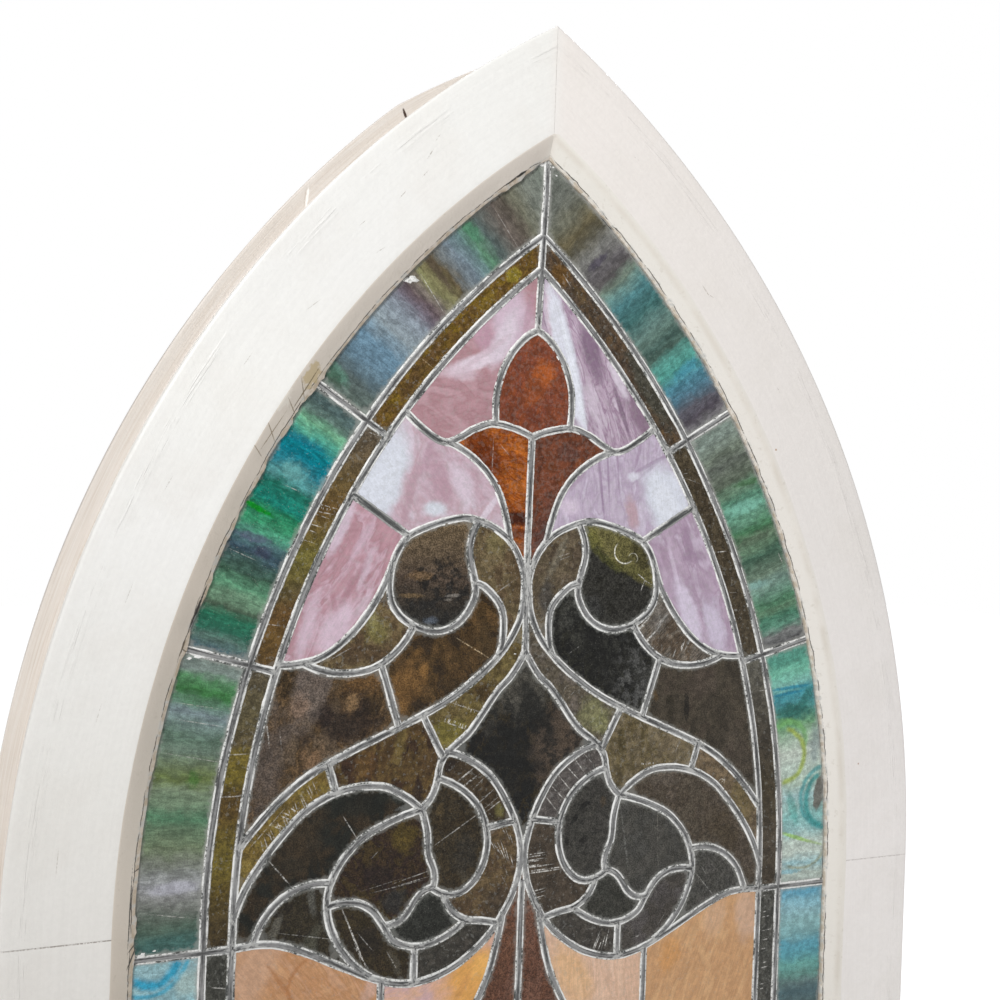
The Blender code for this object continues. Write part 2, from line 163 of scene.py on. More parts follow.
def arc_point(radius, angle):
    """Point of the right arc, at an angle from the spring line."""
    return radius * math.cos(angle) - ARC_CENTRE, radius * math.sin(angle)


def steps_for(length, step):
    """How many equal steps cover a length."""
    return max(1, math.ceil(length / step))


def straight(start, end, step):
    """Points from start to just before end."""
    count = steps_for(math.dist(start, end), step)
    return [(start[0] + (end[0] - start[0]) * part / count,
             start[1] + (end[1] - start[1]) * part / count) for part in range(count)]


def arch_outline(radius, step):
    """Closed outline of the arch, from the right bottom corner over the point to the left one."""
    foot = (radius - ARC_CENTRE, bottom_of(radius))
    top = math.acos(ARC_CENTRE / radius)
    count = steps_for(top * radius, step)
    right = straight(foot, (foot[0], 0), step)
    right.extend(arc_point(radius, top * part / count) for part in range(count + 1))
    left = [(-x, z) for x, z in reversed(right[:-1])]
    return right + left + straight((-foot[0], foot[1]), foot, step)[1:]


def smooth_line(points, step):
    """Bezier line through the points, in steps of about the length given."""
    knots = [Vector(point) for point in points]
    ways = [(after - before).normalized() for before, after in zip(knots, knots[2:])]
    first = (knots[1] - knots[0]).normalized()
    last = (knots[-1] - knots[-2]).normalized()
    ways.insert(0, -ways[0].reflect(first) if ways else first)
    ways.append(-ways[-1].reflect(last) if len(knots) > 2 else last)
    line = [knots[0]]
    for start, end, way, next_way in zip(knots, knots[1:], ways, ways[1:]):
        reach = (end - start).length / 3
        count = steps_for((end - start).length, step) + 1
        line.extend(interpolate_bezier(start, start + way * reach, end - next_way * reach,
                                       end, count)[1:])
    return [(point.x, point.y) for point in line]


def border_lines(step):
    """The straight leads that divide the border and the narrow strip, on the right."""
    both = (INNER_FILLET_RADIUS, EDGE_LEAD_OUTER - 2 * CUT_HALF_WIDTH)
    ends = [[arc_point(radius, angle) for radius in both]
            for angle in (UPPER_CROSSING, MIDDLE_CROSSING)]
    ends.append([(radius - ARC_CENTRE, LOWER_CROSSING) for radius in both])
    ends.append([(radius - ARC_CENTRE, bottom_of(radius)) for radius in both])
    return [smooth_line(pair, step) for pair in ends]


def lead_lines(step):
    """Middle lines of all open leads in both halves."""
    right = [smooth_line(points, step) for points in PAIRED_LEADS.values()] + border_lines(step)
    left = [[(-x, z) for x, z in line] for line in right]
    middle = [smooth_line([(0, top), (0, bottom)], step) for top, bottom in MIDDLE_LEADS.values()]
    return [[bowed(x, z) for x, z in line] for line in right + left + middle]


def fillet_lines(step):
    """Middle lines of the two closed leads beside the narrow strip."""
    return [[bowed(x, z) for x, z in arch_outline(radius, step)]
            for radius in (OUTER_FILLET_RADIUS, INNER_FILLET_RADIUS)]


def directions(line, ring=False):
    """Unit direction of the line at each of its points."""
    spots = [Vector(point) for point in line]
    before = [spots[-1 if ring else 0]] + spots[:-1]
    after = spots[1:] + [spots[0 if ring else -1]]
    return [(end - start).normalized() for start, end in zip(before, after)]


def beside(point, way, distance):
    """Point at a distance to the left of a line's direction."""
    return point[0] - way.y * distance, point[1] + way.x * distance


def both_sides(line, ways, distance):
    """The lines at a distance to the left and to the right of a line."""
    return [[beside(point, way, side * distance) for point, way in zip(line, ways)]
            for side in (1, -1)]


def to_world(x, depth, z):
    """Drawing millimetres to metres in the frame."""
    return Vector((x * MM, FRONT + depth * MM, SPRING + z * MM))


def wander(x, z, size, seed):
    """Smooth noise from -1 to 1 over the drawing, at about the size given."""
    return noise.noise(Vector((x / size, z / size, seed * 7.31)))


def uneven(x, z, *waves):
    """Smooth noises added up, each given as its amount, size and seed."""
    return sum(amount * wander(x, z, size, seed) for amount, size, seed in waves)


def search_tree(points):
    """Tree that finds the nearest of the points."""
    tree = KDTree(len(points))
    for number, point in enumerate(points):
        tree.insert(point, number)
    tree.balance()
    return tree


def nearest(tree, x, z):
    """Distance from a place in the drawing to the tree's nearest point."""
    return tree.find((x, z, 0))[2]


# ---------------------------------------------------------------- meshes

MARK = "mark"                # three numbers at each point, for its material


class Shape:
    """Points and faces of a mesh in the making."""

    def __init__(self):
        self.points = []
        self.faces = []
        self.marks = []

    def add_tube(self, stations, ring=False, marks=()):
        """Closed body over stations, each the same loop of world points."""
        base = len(self.points)
        self.marks.extend(marks)
        size = len(stations[0])
        count = len(stations)
        for station in stations:
            self.points.extend(station)
        for here in range(count if ring else count - 1):
            start = base + here * size
            after = base + (here + 1) % count * size
            for side in range(size):
                turn = (side + 1) % size
                self.faces.append((start + side, start + turn, after + turn, after + side))
        if not ring:
            self.faces.append(tuple(base + side for side in reversed(range(size))))
            self.faces.append(tuple(base + (count - 1) * size + side for side in range(size)))

    def piece(self, name, slot, sharp=40):
        """The shape as an object that rides with the window."""
        mesh = bpy.data.meshes.new(name)
        mesh.from_pydata(self.points, [], self.faces)
        work = bmesh.new()
        work.from_mesh(mesh)
        bmesh.ops.recalc_face_normals(work, faces=work.faces)
        work.to_mesh(mesh)
        work.free()
        if self.marks:
            layer = mesh.attributes.new(MARK, "FLOAT_VECTOR", "POINT")
            for value, mark in zip(layer.data, self.marks):
                value.vector = mark
        mesh.shade_smooth()
        mesh.set_sharp_from_angle(angle=math.radians(sharp))
        item = bpy.data.objects.new(name, mesh)
        bpy.context.scene.collection.objects.link(item)
        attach(item, BODY)
        return item


# ---------------------------------------------------------------- lead

LINE_STEP = 2.4              # between the stations along a lead
LEAD_HALF_WIDTH = 2.35
LEAD_ROUND = 0.55            # below 1 flattens a lead's crown
LEAD_EDGE_ROUND = 0.8        # below 1 squares its edges
LEAD_SINK = 0.12             # how far a lead stands back where it has no solder
SOLDER_REACH = 7.0
SOLDER_SPREAD = 0.16         # how much wider a lead is at a joint
JOINT_FAR = 30.0             # beyond this, how far a joint is doesn't matter
FRONT_FACETS = 7
BACK_FACETS = 4
LEAD_TURNS = ([math.pi * step / FRONT_FACETS for step in range(FRONT_FACETS)]
              + [math.pi + math.pi * step / BACK_FACETS for step in range(BACK_FACETS)])


def squared(value, power):
    """The sine or cosine of a section's angle, with its corners squared."""
    return math.copysign(abs(value) ** power, value)


def lead_loop(point, way, width_left, width_right, swell):
    """Section of a lead, as a loop of world points."""
    middle = (LEAD_FRONT + LEAD_BACK) / 2
    half_depth = (LEAD_BACK - LEAD_FRONT) / 2 + swell
    loop = []
    for turn in LEAD_TURNS:
        across = math.cos(turn)
        width = width_left if across > 0 else width_right
        x, z = beside(point, way, squared(across, LEAD_EDGE_ROUND) * width)
        loop.append(to_world(x, middle - squared(math.sin(turn), LEAD_ROUND) * half_depth, z))
    return loop


def lead_marks(line, joints):
    """Marks of a lead: millimetres along it, across it and from the nearest joint."""
    marks = []
    length = 37.0 * len(line)    # so that each lead has streaks of its own
    for before, (x, z) in zip(line[:1] + line[:-1], line):
        length += math.dist(before, (x, z))
        away = min(JOINT_FAR, nearest(joints, x, z))
        marks.extend((length, math.cos(turn) * LEAD_HALF_WIDTH, away) for turn in LEAD_TURNS)
    return marks


def add_lead(shape, line, seed, joints, ring=False):
    """One came along a line, with solder where it meets others."""
    stations = []
    for (x, z), way in zip(line, directions(line, ring)):
        solder = max(0.0, 1 - nearest(joints, x, z) / SOLDER_REACH)
        lump = 1 + solder * (SOLDER_SPREAD + 0.12 * wander(x, z, 2.5, seed + 0.7))
        left, right = [LEAD_HALF_WIDTH * (lump + uneven(x, z, (0.13, 13, own), (0.06, 4, own)))
                       for own in (seed, seed + 0.5)]
        swell = 0.10 * wander(x, z, 9, seed + 0.2) + LEAD_SINK * (solder - 1)
        spot = beside((x, z), way, 0.25 * wander(x, z, 25, seed))
        stations.append(lead_loop(spot, way, left, right, swell))
    shape.add_tube(stations, ring, lead_marks(line, joints))


def build_leading():
    """Every came as a rounded bead of uneven width, with the plain came round the edge."""
    shape = Shape()
    lines = lead_lines(LINE_STEP)
    joints = search_tree([(x, z, 0) for line in lines for x, z in (line[0], line[-1])])
    for seed, line in enumerate(lines):
        add_lead(shape, line, seed, joints)
    for seed, line in enumerate(fillet_lines(LINE_STEP), 200):
        add_lead(shape, line, seed, joints, ring=True)
    edge = arch_outline((EDGE_LEAD_INNER + EDGE_LEAD_OUTER) / 2, LINE_STEP * 2)
    half = (EDGE_LEAD_OUTER - EDGE_LEAD_INNER) / 2
    shape.add_tube([lead_loop(point, way, half, half, 0)
                    for point, way in zip(edge, directions(edge, ring=True))],
                   ring=True, marks=lead_marks(edge, joints))
    leading = shape.piece("leading", "lead", sharp=60)
    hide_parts("lead_cames")
    return leading


# ---------------------------------------------------------------- cement beside the lead

CEMENT_INNER = 1.75          # from the lead's middle, under its edge
CEMENT_CREST = 2.45          # the same where the cement is highest
CEMENT_OUTER = 2.95
CEMENT_ROOT = 0.4            # how far its edges go into the glass
CEMENT_HEIGHT = 0.50
CEMENT_LOST = 0.54           # noise above this leaves none
CEMENT_FALL = 0.9            # what the height loses there
CEMENT_STEEP = 8             # how suddenly it does so
DAB_CORNERS = 12
DAB_SECTION = ((1.0, -0.2), (0.85, 0.4), (0.4, 0.7))     # shares of a lump's reach and rise
DAB_RISE = 0.22              # how high a lump is for its size
DAB_SQUASH = 0.55            # and how far it reaches up and down
DAB_RAGGED = 0.8
# Lumps of cement on the glass: place and size.
DABS = [
    (7.5, 532.8, 1.3), (-2, 543, 3.2), (2, 541, 2.6), (-4, 539, 2.2), (4.5, 538.5, 1.2),
    (-236, 179.5, 2.0), (-240, 178.5, 2.4), (-245, 183, 2.8), (-232, 178, 1.4),
    (-246, 177, 1.8), (-173, 363, 1.8), (-169, 366, 1.3), (-103, 443, 5.5), (-108, 447, 3.2),
    (173, 360, 1.6), (177, 364, 1.3), (-273, -16, 2.2), (-268, -15, 1.6), (-261, -14, 1.2),
    (-276, -22, 1.8), (252, 178, 1.5), (-270, -16.6, 2.8), (-263, -17.6, 2.6),
    (-254, -18.2, 2.4), (-245, -18.0, 2.6), (-236, -17.6, 2.2), (-228, -17.2, 2.4),
    (-221, -16.8, 2.0), (-12, 176, 1.0), (5, 190, 0.9), (44, 121, 0.8), (-36, 57, 0.9),
]


def cement_loop(point, way, side, outer, height, back):
    """Section of the cement along one side of a lead."""
    corners = [(CEMENT_INNER, CEMENT_ROOT), (CEMENT_INNER, -height * 1.15),
               (CEMENT_CREST, -height), (outer - 0.25, -height * 0.45), (outer, 0.05),
               (outer - 0.3, CEMENT_ROOT)]
    loop = []
    for across, depth in corners:
        x, z = beside(point, way, side * across)
        loop.append(to_world(x, GLASS_BACK - depth if back else GLASS_FRONT + depth, z))
    return loop


def add_cement(shape, line, seed, back, ring=False):
    """The cement that stands along both sides of a lead, on one face."""
    ways = directions(line, ring)
    for side in (1, -1):
        stations = []
        for (x, z), way in zip(line, ways):
            ragged = uneven(x, z, (0.34, 2.6, seed + side), (0.30, 15, seed - side),
                            (0.2, 6, seed + 3 * side))
            missing = uneven(x, z, (1, 13, seed + 5 * side), (0.3, 3, seed))
            height = CEMENT_HEIGHT + 0.14 * wander(x, z, 4, seed + 2 * side)
            height -= CEMENT_FALL * clamp((missing - CEMENT_LOST) * CEMENT_STEEP)
            stations.append(cement_loop((x, z), way, side, CEMENT_OUTER + ragged, height, back))
        shape.add_tube(stations, ring)


def add_dab(shape, x, z, size):
    """A small uneven lump left on the glass."""
    stations = []
    for share, rise in DAB_SECTION:
        station = []
        for part in range(DAB_CORNERS):
            turn = math.tau * part / DAB_CORNERS
            edge = wander(x + math.cos(turn), z + math.sin(turn), 0.8, 9)
            reach = size * share * (1 + DAB_RAGGED * edge)
            station.append(to_world(x + reach * math.cos(turn),
                                    GLASS_FRONT - rise * size * DAB_RISE,
                                    z + reach * math.sin(turn) * DAB_SQUASH))
        stations.append(station)
    shape.add_tube(stations)


def build_cement(name, step, back):
    """Cement lines along every lead on one face of the panel."""
    shape = Shape()
    for seed, line in enumerate(lead_lines(step), 400):
        add_cement(shape, line, seed, back)
    for seed, line in enumerate(fillet_lines(step), 600):
        add_cement(shape, line, seed, back, ring=True)
    if not back:
        for x, z, size in DABS:
            add_dab(shape, x, z, size)
    return shape.piece(name, "putty")


# ---------------------------------------------------------------- glass

CUT_REACH = 0.9              # how far a cut goes past its lead's ends
GLASS_STEP = LINE_STEP * 1.5     # between the points along a pane's edge
GLASS_GRID = 5.0
SAME_POINT = 0.001           # points nearer than this are one
PANE_TILT = 0.0016
# Panes that each half has, as a point inside the right one.
PAIRED_PANES = {
    "border_top": (80, 440), "border_upper": (193, 270), "border_middle": (247, 80),
    "border_lower": (252, -140), "border_foot": (120, -276), "crown": (60, 390),
    "brow": (70, 300), "petal": (135, 225), "fleur": (27, 320), "disc": (75, 235),
    "crescent": (28, 245), "leaf": (125, 188), "body": (65, 170), "field": (160, 135),
    "band_upper": (50, 130), "band_middle": (110, 105), "band_lower": (172, 77),
    "scroll_field": (150, 60), "scroll_heart": (110, 30), "scroll_tip": (165, -5),
    "scroll_foot": (115, -30), "teardrop": (50, 45), "lower_inner": (75, -130),
    "lower_outer": (160, -130), "stalk": (20, -150),
}
MIDDLE_PANES = {"bud": (0, 370), "diamond": (0, 110)}
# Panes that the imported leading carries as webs.
SMALL_PANES = {
    "strip_top": (60, 415), "strip_upper": (164, 257), "strip_middle": (215, 76),
    "strip_lower": (220, -140), "strip_foot": (120, -244), "eye": (75, -15),
    "ring_upper": (25, 70), "ring_side": (18, 10), "ring_lower": (50, -38),
}
# Record slots by the first word of a pane's name. The others are dark glass.
GLASS_SLOTS = {
    "border": "border_glass", "crown": "pink_glass", "brow": "pink_glass", "petal": "pink_glass",
    "fleur": "rust_glass", "bud": "rust_glass", "lower": "peach_glass",
    "strip": "amber_glass", "band": "amber_glass", "crescent": "amber_glass",
    "leaf": "amber_glass", "ring": "amber_glass",
}


def slot_of(name):
    """Record slot of a pane, by the first word of its name."""
    return GLASS_SLOTS.get(name.split("_")[0], "dark_glass")


def pane_list():
    """Every pane: its kind, its name's ending, a point inside and whether it is a solid."""
    hands = (("_left", -1), ("_right", 1))
    panes = [(kind, hand, side * x, z, True)
             for kind, (x, z) in PAIRED_PANES.items() for hand, side in hands]
    panes += [(kind, "", x, z, True) for kind, (x, z) in MIDDLE_PANES.items()]
    panes += [(kind, hand, side * x, z, False)
              for kind, (x, z) in SMALL_PANES.items() for hand, side in hands]
    return panes


def strip_outline(line):
    """Closed outline of the cut along a lead."""
    ways = directions(line)
    line = list(line)
    line[0] = (line[0][0] - ways[0].x * CUT_REACH, line[0][1] - ways[0].y * CUT_REACH)
    line[-1] = (line[-1][0] + ways[-1].x * CUT_REACH, line[-1][1] + ways[-1].y * CUT_REACH)
    left, right = both_sides(line, ways, CUT_HALF_WIDTH)
    return left + right[::-1]


def glass_borders():
    """Closed outlines that part the glass into panes."""
    outlines = [arch_outline(EDGE_LEAD_INNER + CUT_HALF_WIDTH, GLASS_STEP * 2)]
    outlines.extend(strip_outline(line) for line in lead_lines(GLASS_STEP))
    for line in fillet_lines(GLASS_STEP):
        outlines.extend(both_sides(line, directions(line, ring=True), CUT_HALF_WIDTH))
    return outlines


def glass_grid(outlines):
    """Points inside the arch in staggered rows, clear of the outlines."""
    tree = search_tree([(x, z, 0) for outline in outlines for x, z in outline])
    points = []
    reach = EDGE_LEAD_OUTER - ARC_CENTRE
    top = math.sqrt(EDGE_LEAD_OUTER ** 2 - ARC_CENTRE ** 2)
    bottom = bottom_of(EDGE_LEAD_OUTER)
    for row in range(steps_for(top - bottom, GLASS_GRID)):
        z = bottom + row * GLASS_GRID
        shift = GLASS_GRID / 2 * (row % 2)
        for column in range(steps_for(2 * reach, GLASS_GRID)):
            x = -reach + shift + column * GLASS_GRID
            inside = z < 0 or math.hypot(abs(x) + ARC_CENTRE, z) < EDGE_LEAD_INNER
            if inside and nearest(tree, x, z) > GLASS_GRID / 2:
                points.append((x, z))
    return points


def turns_of(corners):
    """Each corner with the next one, round to the first."""
    return zip(corners, corners[1:] + corners[:1])


def cut_glass():
    """Triangles of the glass, as points, corners and neighbours that no border parts."""
    outlines = glass_borders()
    points = []
    edges = []
    for outline in outlines:
        base = len(points)
        points.extend(outline)
        size = len(outline)
        edges.extend((base + place, base + (place + 1) % size) for place in range(size))
    points.extend(glass_grid(outlines))
    made = delaunay_2d_cdt([Vector(point) for point in points], edges, [], 0, SAME_POINT)
    spots, lines, triangles, _, sources, _ = made
    borders = {frozenset(line) for line, source in zip(lines, sources) if source}
    sharing = {}
    for number, corners in enumerate(triangles):
        for side in map(frozenset, turns_of(corners)):
            if side not in borders:
                sharing.setdefault(side, []).append(number)
    neighbours = [[] for _ in triangles]
    for pair in sharing.values():
        if len(pair) == 2:
            neighbours[pair[0]].append(pair[1])
            neighbours[pair[1]].append(pair[0])
    return spots, triangles, neighbours


def holds(spots, corners, x, z):
    """Whether a triangle holds a point."""
    turns = []
    for start, end in turns_of(corners):
        here = spots[start]
        there = spots[end]
        turns.append((there.x - here.x) * (z - here.y) - (there.y - here.y) * (x - here.x))
    return min(turns) >= 0 or max(turns) <= 0


def triangles_from(cut, x, z):
    """Every triangle of the pane that holds a point."""
    spots, triangles, neighbours = cut
    start = next(number for number, corners in enumerate(triangles)
                 if holds(spots, corners, x, z))
    found = {start}
    fresh = {start}
    while fresh:
        fresh = {near for number in fresh for near in neighbours[number]} - found
        found |= fresh
    return [triangles[number] for number in sorted(found)]


def pane_shape(cut, x, z, seed):
    """Closed body of a pane, with a slight ripple on both faces and a tilt of its own."""
    spots = cut[0]
    triangles = triangles_from(cut, *bowed(x, z))
    used = sorted({corner for corners in triangles for corner in corners})
    place = {corner: number for number, corner in enumerate(used)}
    count = len(used)
    shape = Shape()
    for face in (GLASS_FRONT, GLASS_BACK):
        for corner in used:
            px, pz = spots[corner]
            tilt = PANE_TILT * ((px - x) * math.sin(seed * 5) + (pz - z) * math.cos(seed * 3))
            ripple = uneven(px, pz, (0.09, 26, seed + face), (0.03, 9, seed))
            shape.points.append(to_world(px, face + tilt + ripple, pz))
    sides = {}
    for corners in triangles:
        numbers = [place[corner] for corner in corners]
        shape.faces.append(tuple(numbers))
        shape.faces.append(tuple(count + number for number in reversed(numbers)))
        for start, end in turns_of(numbers):
            sides.setdefault(frozenset((start, end)), []).append((start, end))
    rim = [found[0] for found in sides.values() if len(found) == 1]
    shape.faces.extend((end, start, count + start, count + end) for start, end in rim)
    tree = search_tree([shape.points[start] for start, _ in rim])
    # The mark's first number is how far a point is from the pane's edge.
    shape.marks = [(tree.find(point)[2] / MM, 0, 0) for point in shape.points[:count]] * 2
    return shape


def build_panes():
    """Every pane of glass. Those that stand for no solid are set in the leading's webs."""
    cut = cut_glass()
    panes = []
    for number, (kind, hand, x, z, is_solid) in enumerate(pane_list()):
        pane = pane_shape(cut, x, z, number).piece(f"{kind}_glass{hand}", slot_of(kind), sharp=60)
        if is_solid:
            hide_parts(f"{kind}_pane{hand}")
        panes.append(pane)
    return panes


# ---------------------------------------------------------------- sash

SASH_STEP = 4.0
ROUND_PARTS = 3              # chords in a rounded corner of the section
LIP_DEPTH = 24.0             # where the set-back lip starts
LIP_STUB = 1.0               # what is left of the lip at the point, past the face's edge
LIP_END = math.radians(54.0)     # the lip runs out at this angle of the arc
LIP_TAPER = math.radians(6.0)
FACE_SINK = 0.45             # the paint's surface lies this far behind the solid's face
ON_FACE = 1.0                # less deep than this is the front face
RIDGE_INSET = 14.0           # from the face's edge to the ridge that a brush left
RIDGE_HEIGHT = 0.22
FILM = 4.0                   # the paint runs this far from the putty on to the face
RELIEF_MOST = 0.35
RELIEF_EASE = 8.0            # the relief grows to its full over this distance from the putty


def rounded_section(corners, step):
    """Loop through corners of (radius, depth, rounding), with its sides parted in steps."""
    loop = []
    spots = [Vector((radius, depth)) for radius, depth, _ in corners]
    for number, spot in enumerate(spots):
        after = (number + 1) % len(spots)
        rounding = corners[number][2]
        ahead = (spots[after] - spot).normalized()
        start = spot + (spots[number - 1] - spot).normalized() * rounding
        end = spot + ahead * rounding
        for part in range(ROUND_PARTS + 1):
            share = part / ROUND_PARTS
            loop.append(start * (1 - share) ** 2 + spot * 2 * share * (1 - share)
                        + end * share ** 2)
        next_start = spots[after] - ahead * corners[after][2]
        loop.extend(Vector(point) for point in straight(end, next_start, step)[1:])
    return [(point.x, point.y) for point in loop]


def sash_section():
    """Section of a sash member, as a loop of radius and depth."""
    return rounded_section([
        (FACE_RADIUS, FACE_SINK, 2.2), (FACE_RADIUS, LIP_DEPTH, 0.8),
        (LIP_RADIUS, LIP_DEPTH, 1.6), (LIP_RADIUS, SASH_DEPTH, 1.2),
        (LEDGE_RADIUS, SASH_DEPTH, 1.2), (LEDGE_RADIUS, LEAD_BACK + GAP, 0.5),
        (REBATE_RADIUS, LEAD_BACK + GAP, 0.3), (REBATE_RADIUS, FACE_SINK, 1.2)], SASH_STEP)


def tapered(radius, angle):
    """The radius, or for the lip what its taper leaves of it."""
    if radius <= FACE_RADIUS:
        return radius
    left = clamp((LIP_END - angle) / LIP_TAPER)
    stub = LIP_STUB / (LIP_RADIUS - FACE_RADIUS)
    return FACE_RADIUS + (radius - FACE_RADIUS) * (stub + (1 - stub) * left)


def head_point(radius, share):
    """Point of a head from the spring line (0) up to the mitre (1)."""
    start = math.asin(GAP / 4 / radius)
    end = math.acos((ARC_CENTRE + GAP / 4) / tapered(radius, LIP_END))
    angle = start + (end - start) * share
    return arc_point(tapered(radius, angle), angle)


def stile_point(radius, share):
    """Point of a stile from the spring line (0) down to the mitred corner (1)."""
    start = -GAP / 4
    end = bottom_of(radius) + GAP / 2
    return radius - ARC_CENTRE, start + (end - start) * share


def rail_point(radius, share):
    """Point of the bottom rail from one mitre (0) to the other (1)."""
    end = radius - ARC_CENTRE - GAP / 2
    return end * (2 * share - 1), bottom_of(radius)


def sash_relief(x, z, radius, depth):
    """How far the paint's surface stands back at a point of a sash member."""
    swell = uneven(x, z, (0.16, 70, 5), (0.09, 16, 6))
    if depth < ON_FACE:
        edge = FACE_RADIUS - radius - RIDGE_INSET - 1.6 * wander(x, z, 90, 8)
        swell -= RIDGE_HEIGHT * math.exp(-edge * edge / 2)
    near = clamp((radius - REBATE_RADIUS - FILM) / RELIEF_EASE)
    return clamp(swell, -RELIEF_MOST, RELIEF_MOST) * near


def add_member(shape, point_at, side, length):
    """One sash member with rounded edges and an uneven coat of paint."""
    section = sash_section()
    stations = []
    marks = []
    count = steps_for(length, SASH_STEP)
    for part in range(count + 1):
        share = part / count
        station = []
        for radius, depth in section:
            x, z = point_at(radius, share)
            relief = sash_relief(side * x, z, radius, depth)
            marks.append((length * share, radius, depth))
            if depth < ON_FACE:
                depth += relief
            elif depth > SASH_DEPTH - ON_FACE:
                depth -= abs(relief) * 0.5
            station.append(to_world(side * x, depth, z))
        stations.append(station)
    shape.add_tube(stations, marks=marks)


def build_sash():
    """Two curved heads, two stiles and a bottom rail."""
    pieces = []
    head_length = LIP_RADIUS * math.acos(ARC_CENTRE / LIP_RADIUS)
    stile_length = -bottom_of(LIP_RADIUS)
    rail_length = 2 * (LIP_RADIUS - ARC_CENTRE)
    members = [("curved_head_left", head_point, -1, head_length),
               ("curved_head_right", head_point, 1, head_length),
               ("stile_left", stile_point, -1, stile_length),
               ("stile_right", stile_point, 1, stile_length),
               ("bottom_rail", rail_point, 1, rail_length)]
    for node, point_at, side, length in members:
        shape = Shape()
        add_member(shape, point_at, side, length)
        member = shape.piece("painted_" + node, "painted_wood")
        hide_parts(node)
        pieces.append(member)
    return pieces


# ---------------------------------------------------------------- putty

PUTTY_STEP = 3.0
PUTTY_PARTS = 6              # chords across the bevel
PUTTY_BULGE = 0.9            # below 1 the bevel starts steeply
BEVEL_START = 2.2            # from the rebate's edge to where the bevel starts
BEVEL_TOP = 1.2              # how deep it starts
TOE_LIFT = 0.8               # how thick the putty ends on the glass
TOE_LEFT = 1.6               # how much further than drawn the putty reaches on the glass
TOE_RIGHT = 1.2
CHIP_STEEP = 5               # how suddenly a chip starts
# Places where the putty's edge is chipped or has a flap, with reach and amount.
CHIPS = [
    (-32, 528, 13, 1.9), (-13, 548, 6, -1.4), (-175, 368, 12, 2.0), (-190, 350, 9, -1.6),
    (-196, 338, 8, 1.3), (-206, 322, 10, -1.3), (-216, 305, 9, 1.4), (-224, 284, 9, -1.5),
    (-232, 268, 9, 1.1), (-246, 226, 12, 1.6), (-252, 204, 9, -1.4), (-258, 188, 8, 2.0),
    (-276, 96, 12, -1.1), (-283, 4, 9, 1.8), (-283, -16, 8, 1.2),
    (30, 534, 8, 1.2), (58, 508, 8, -1.0), (120, 452, 10, 1.3), (152, 414, 10, -1.1),
    (170, 392, 9, 1.4), (182, 376, 9, 1.0), (210, 330, 9, -1.0), (250, 240, 10, 1.0),
]


def putty_toe(x, z):
    """How much further than drawn the putty reaches on the glass, beside a point."""
    toe = uneven(x, z, (0.45, 26, 11), (0.22, 4, 12)) + (TOE_LEFT if x < 0 else TOE_RIGHT)
    for chip_x, chip_z, reach, amount in CHIPS:
        near = 1 - math.dist((x, z), (chip_x, chip_z)) / reach
        toe += amount * clamp(near * CHIP_STEEP) * (0.6 + 0.6 * wander(x, z, 4, 17))
    return toe


def putty_loop(x, z):
    """Section of the putty, as distances inside the rebate's edge with their depths."""
    reach = REBATE_RADIUS - SIGHT_RADIUS + putty_toe(x, z)
    back = LEAD_FRONT - GAP
    edge = (FILM if x > 0 else 1.0) * (0.75 + 0.2 * wander(x, z, 30, 16))
    loop = [(0, back), (-0.5, 2.0), (-edge, FACE_SINK + 0.3), (-edge, FACE_SINK - 0.06),
            (-edge * 0.5, FACE_SINK - 0.10), (0, FACE_SINK + 0.02), (1.0, FACE_SINK + 0.45)]
    for part in range(1, PUTTY_PARTS + 1):
        share = part / PUTTY_PARTS
        depth = BEVEL_TOP + (back - TOE_LIFT - BEVEL_TOP) * share ** PUTTY_BULGE
        ripple = uneven(x, z, (0.2, 8, 13 + part * 0.15), (0.25, 40, 14))
        loop.append((BEVEL_START + (reach - BEVEL_START) * share ** 0.95, depth + ripple * share))
    loop.append((reach + 0.2, back + 0.9))
    loop.append(((REBATE_RADIUS - SIGHT_RADIUS) * 0.5, back))
    return loop


def build_putty():
    """The bevelled bead of putty all round, marked with how far across it a point is."""
    shape = Shape()
    outer = arch_outline(REBATE_RADIUS, PUTTY_STEP)
    width = REBATE_RADIUS - SIGHT_RADIUS
    stations = []
    marks = []
    for point, way in zip(outer, directions(outer, ring=True)):
        station = []
        for across, depth in putty_loop(*point):
            x, z = beside(point, way, across)
            station.append(to_world(x, depth, z))
            marks.append((across / width, depth, 0))
        stations.append(station)
    shape.add_tube(stations, ring=True, marks=marks)
    putty = shape.piece("putty_bead", "putty")
    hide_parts("glazing_putty")
    return putty


# ---------------------------------------------------------------- studio

CAMERA_PLACE = (-0.3378, -0.7805, 0.6781)
CAMERA_TURN = (90.15, -2.09, -22.24)     # degrees
LENS = 40.1
WHITE = (1, 1, 1, 1)
FLOOR_SIZE = 12
FLOOR_WHITE = (0.93, 0.93, 0.93, 1)
FLOOR_GLOW = 0.30            # light that the floor adds to the room
FLOOR_SEEN = 0.70            # the same where it is looked at, so that it stays near white
WORLD_LIGHT = 0.44           # what the studio's white walls give
WORLD_GLOSS = 0.22           # how bright they look in reflections
LIGHT_AIM = Vector((-0.12, 0, 1.0))
LIGHT_SPREAD = 55
# Name, place, size and power of each lamp.
LIGHTS = [("key", (-1.2, -1.5, 2.0), 0.7, 3.4), ("back", (1.2, 2.6, 2.2), 1.6, 10)]


def add_to_scene(name, data, place):
    """New object of a camera or lamp."""
    item = bpy.data.objects.new(name, data)
    item.location = place
    bpy.context.scene.collection.objects.link(item)
    return item


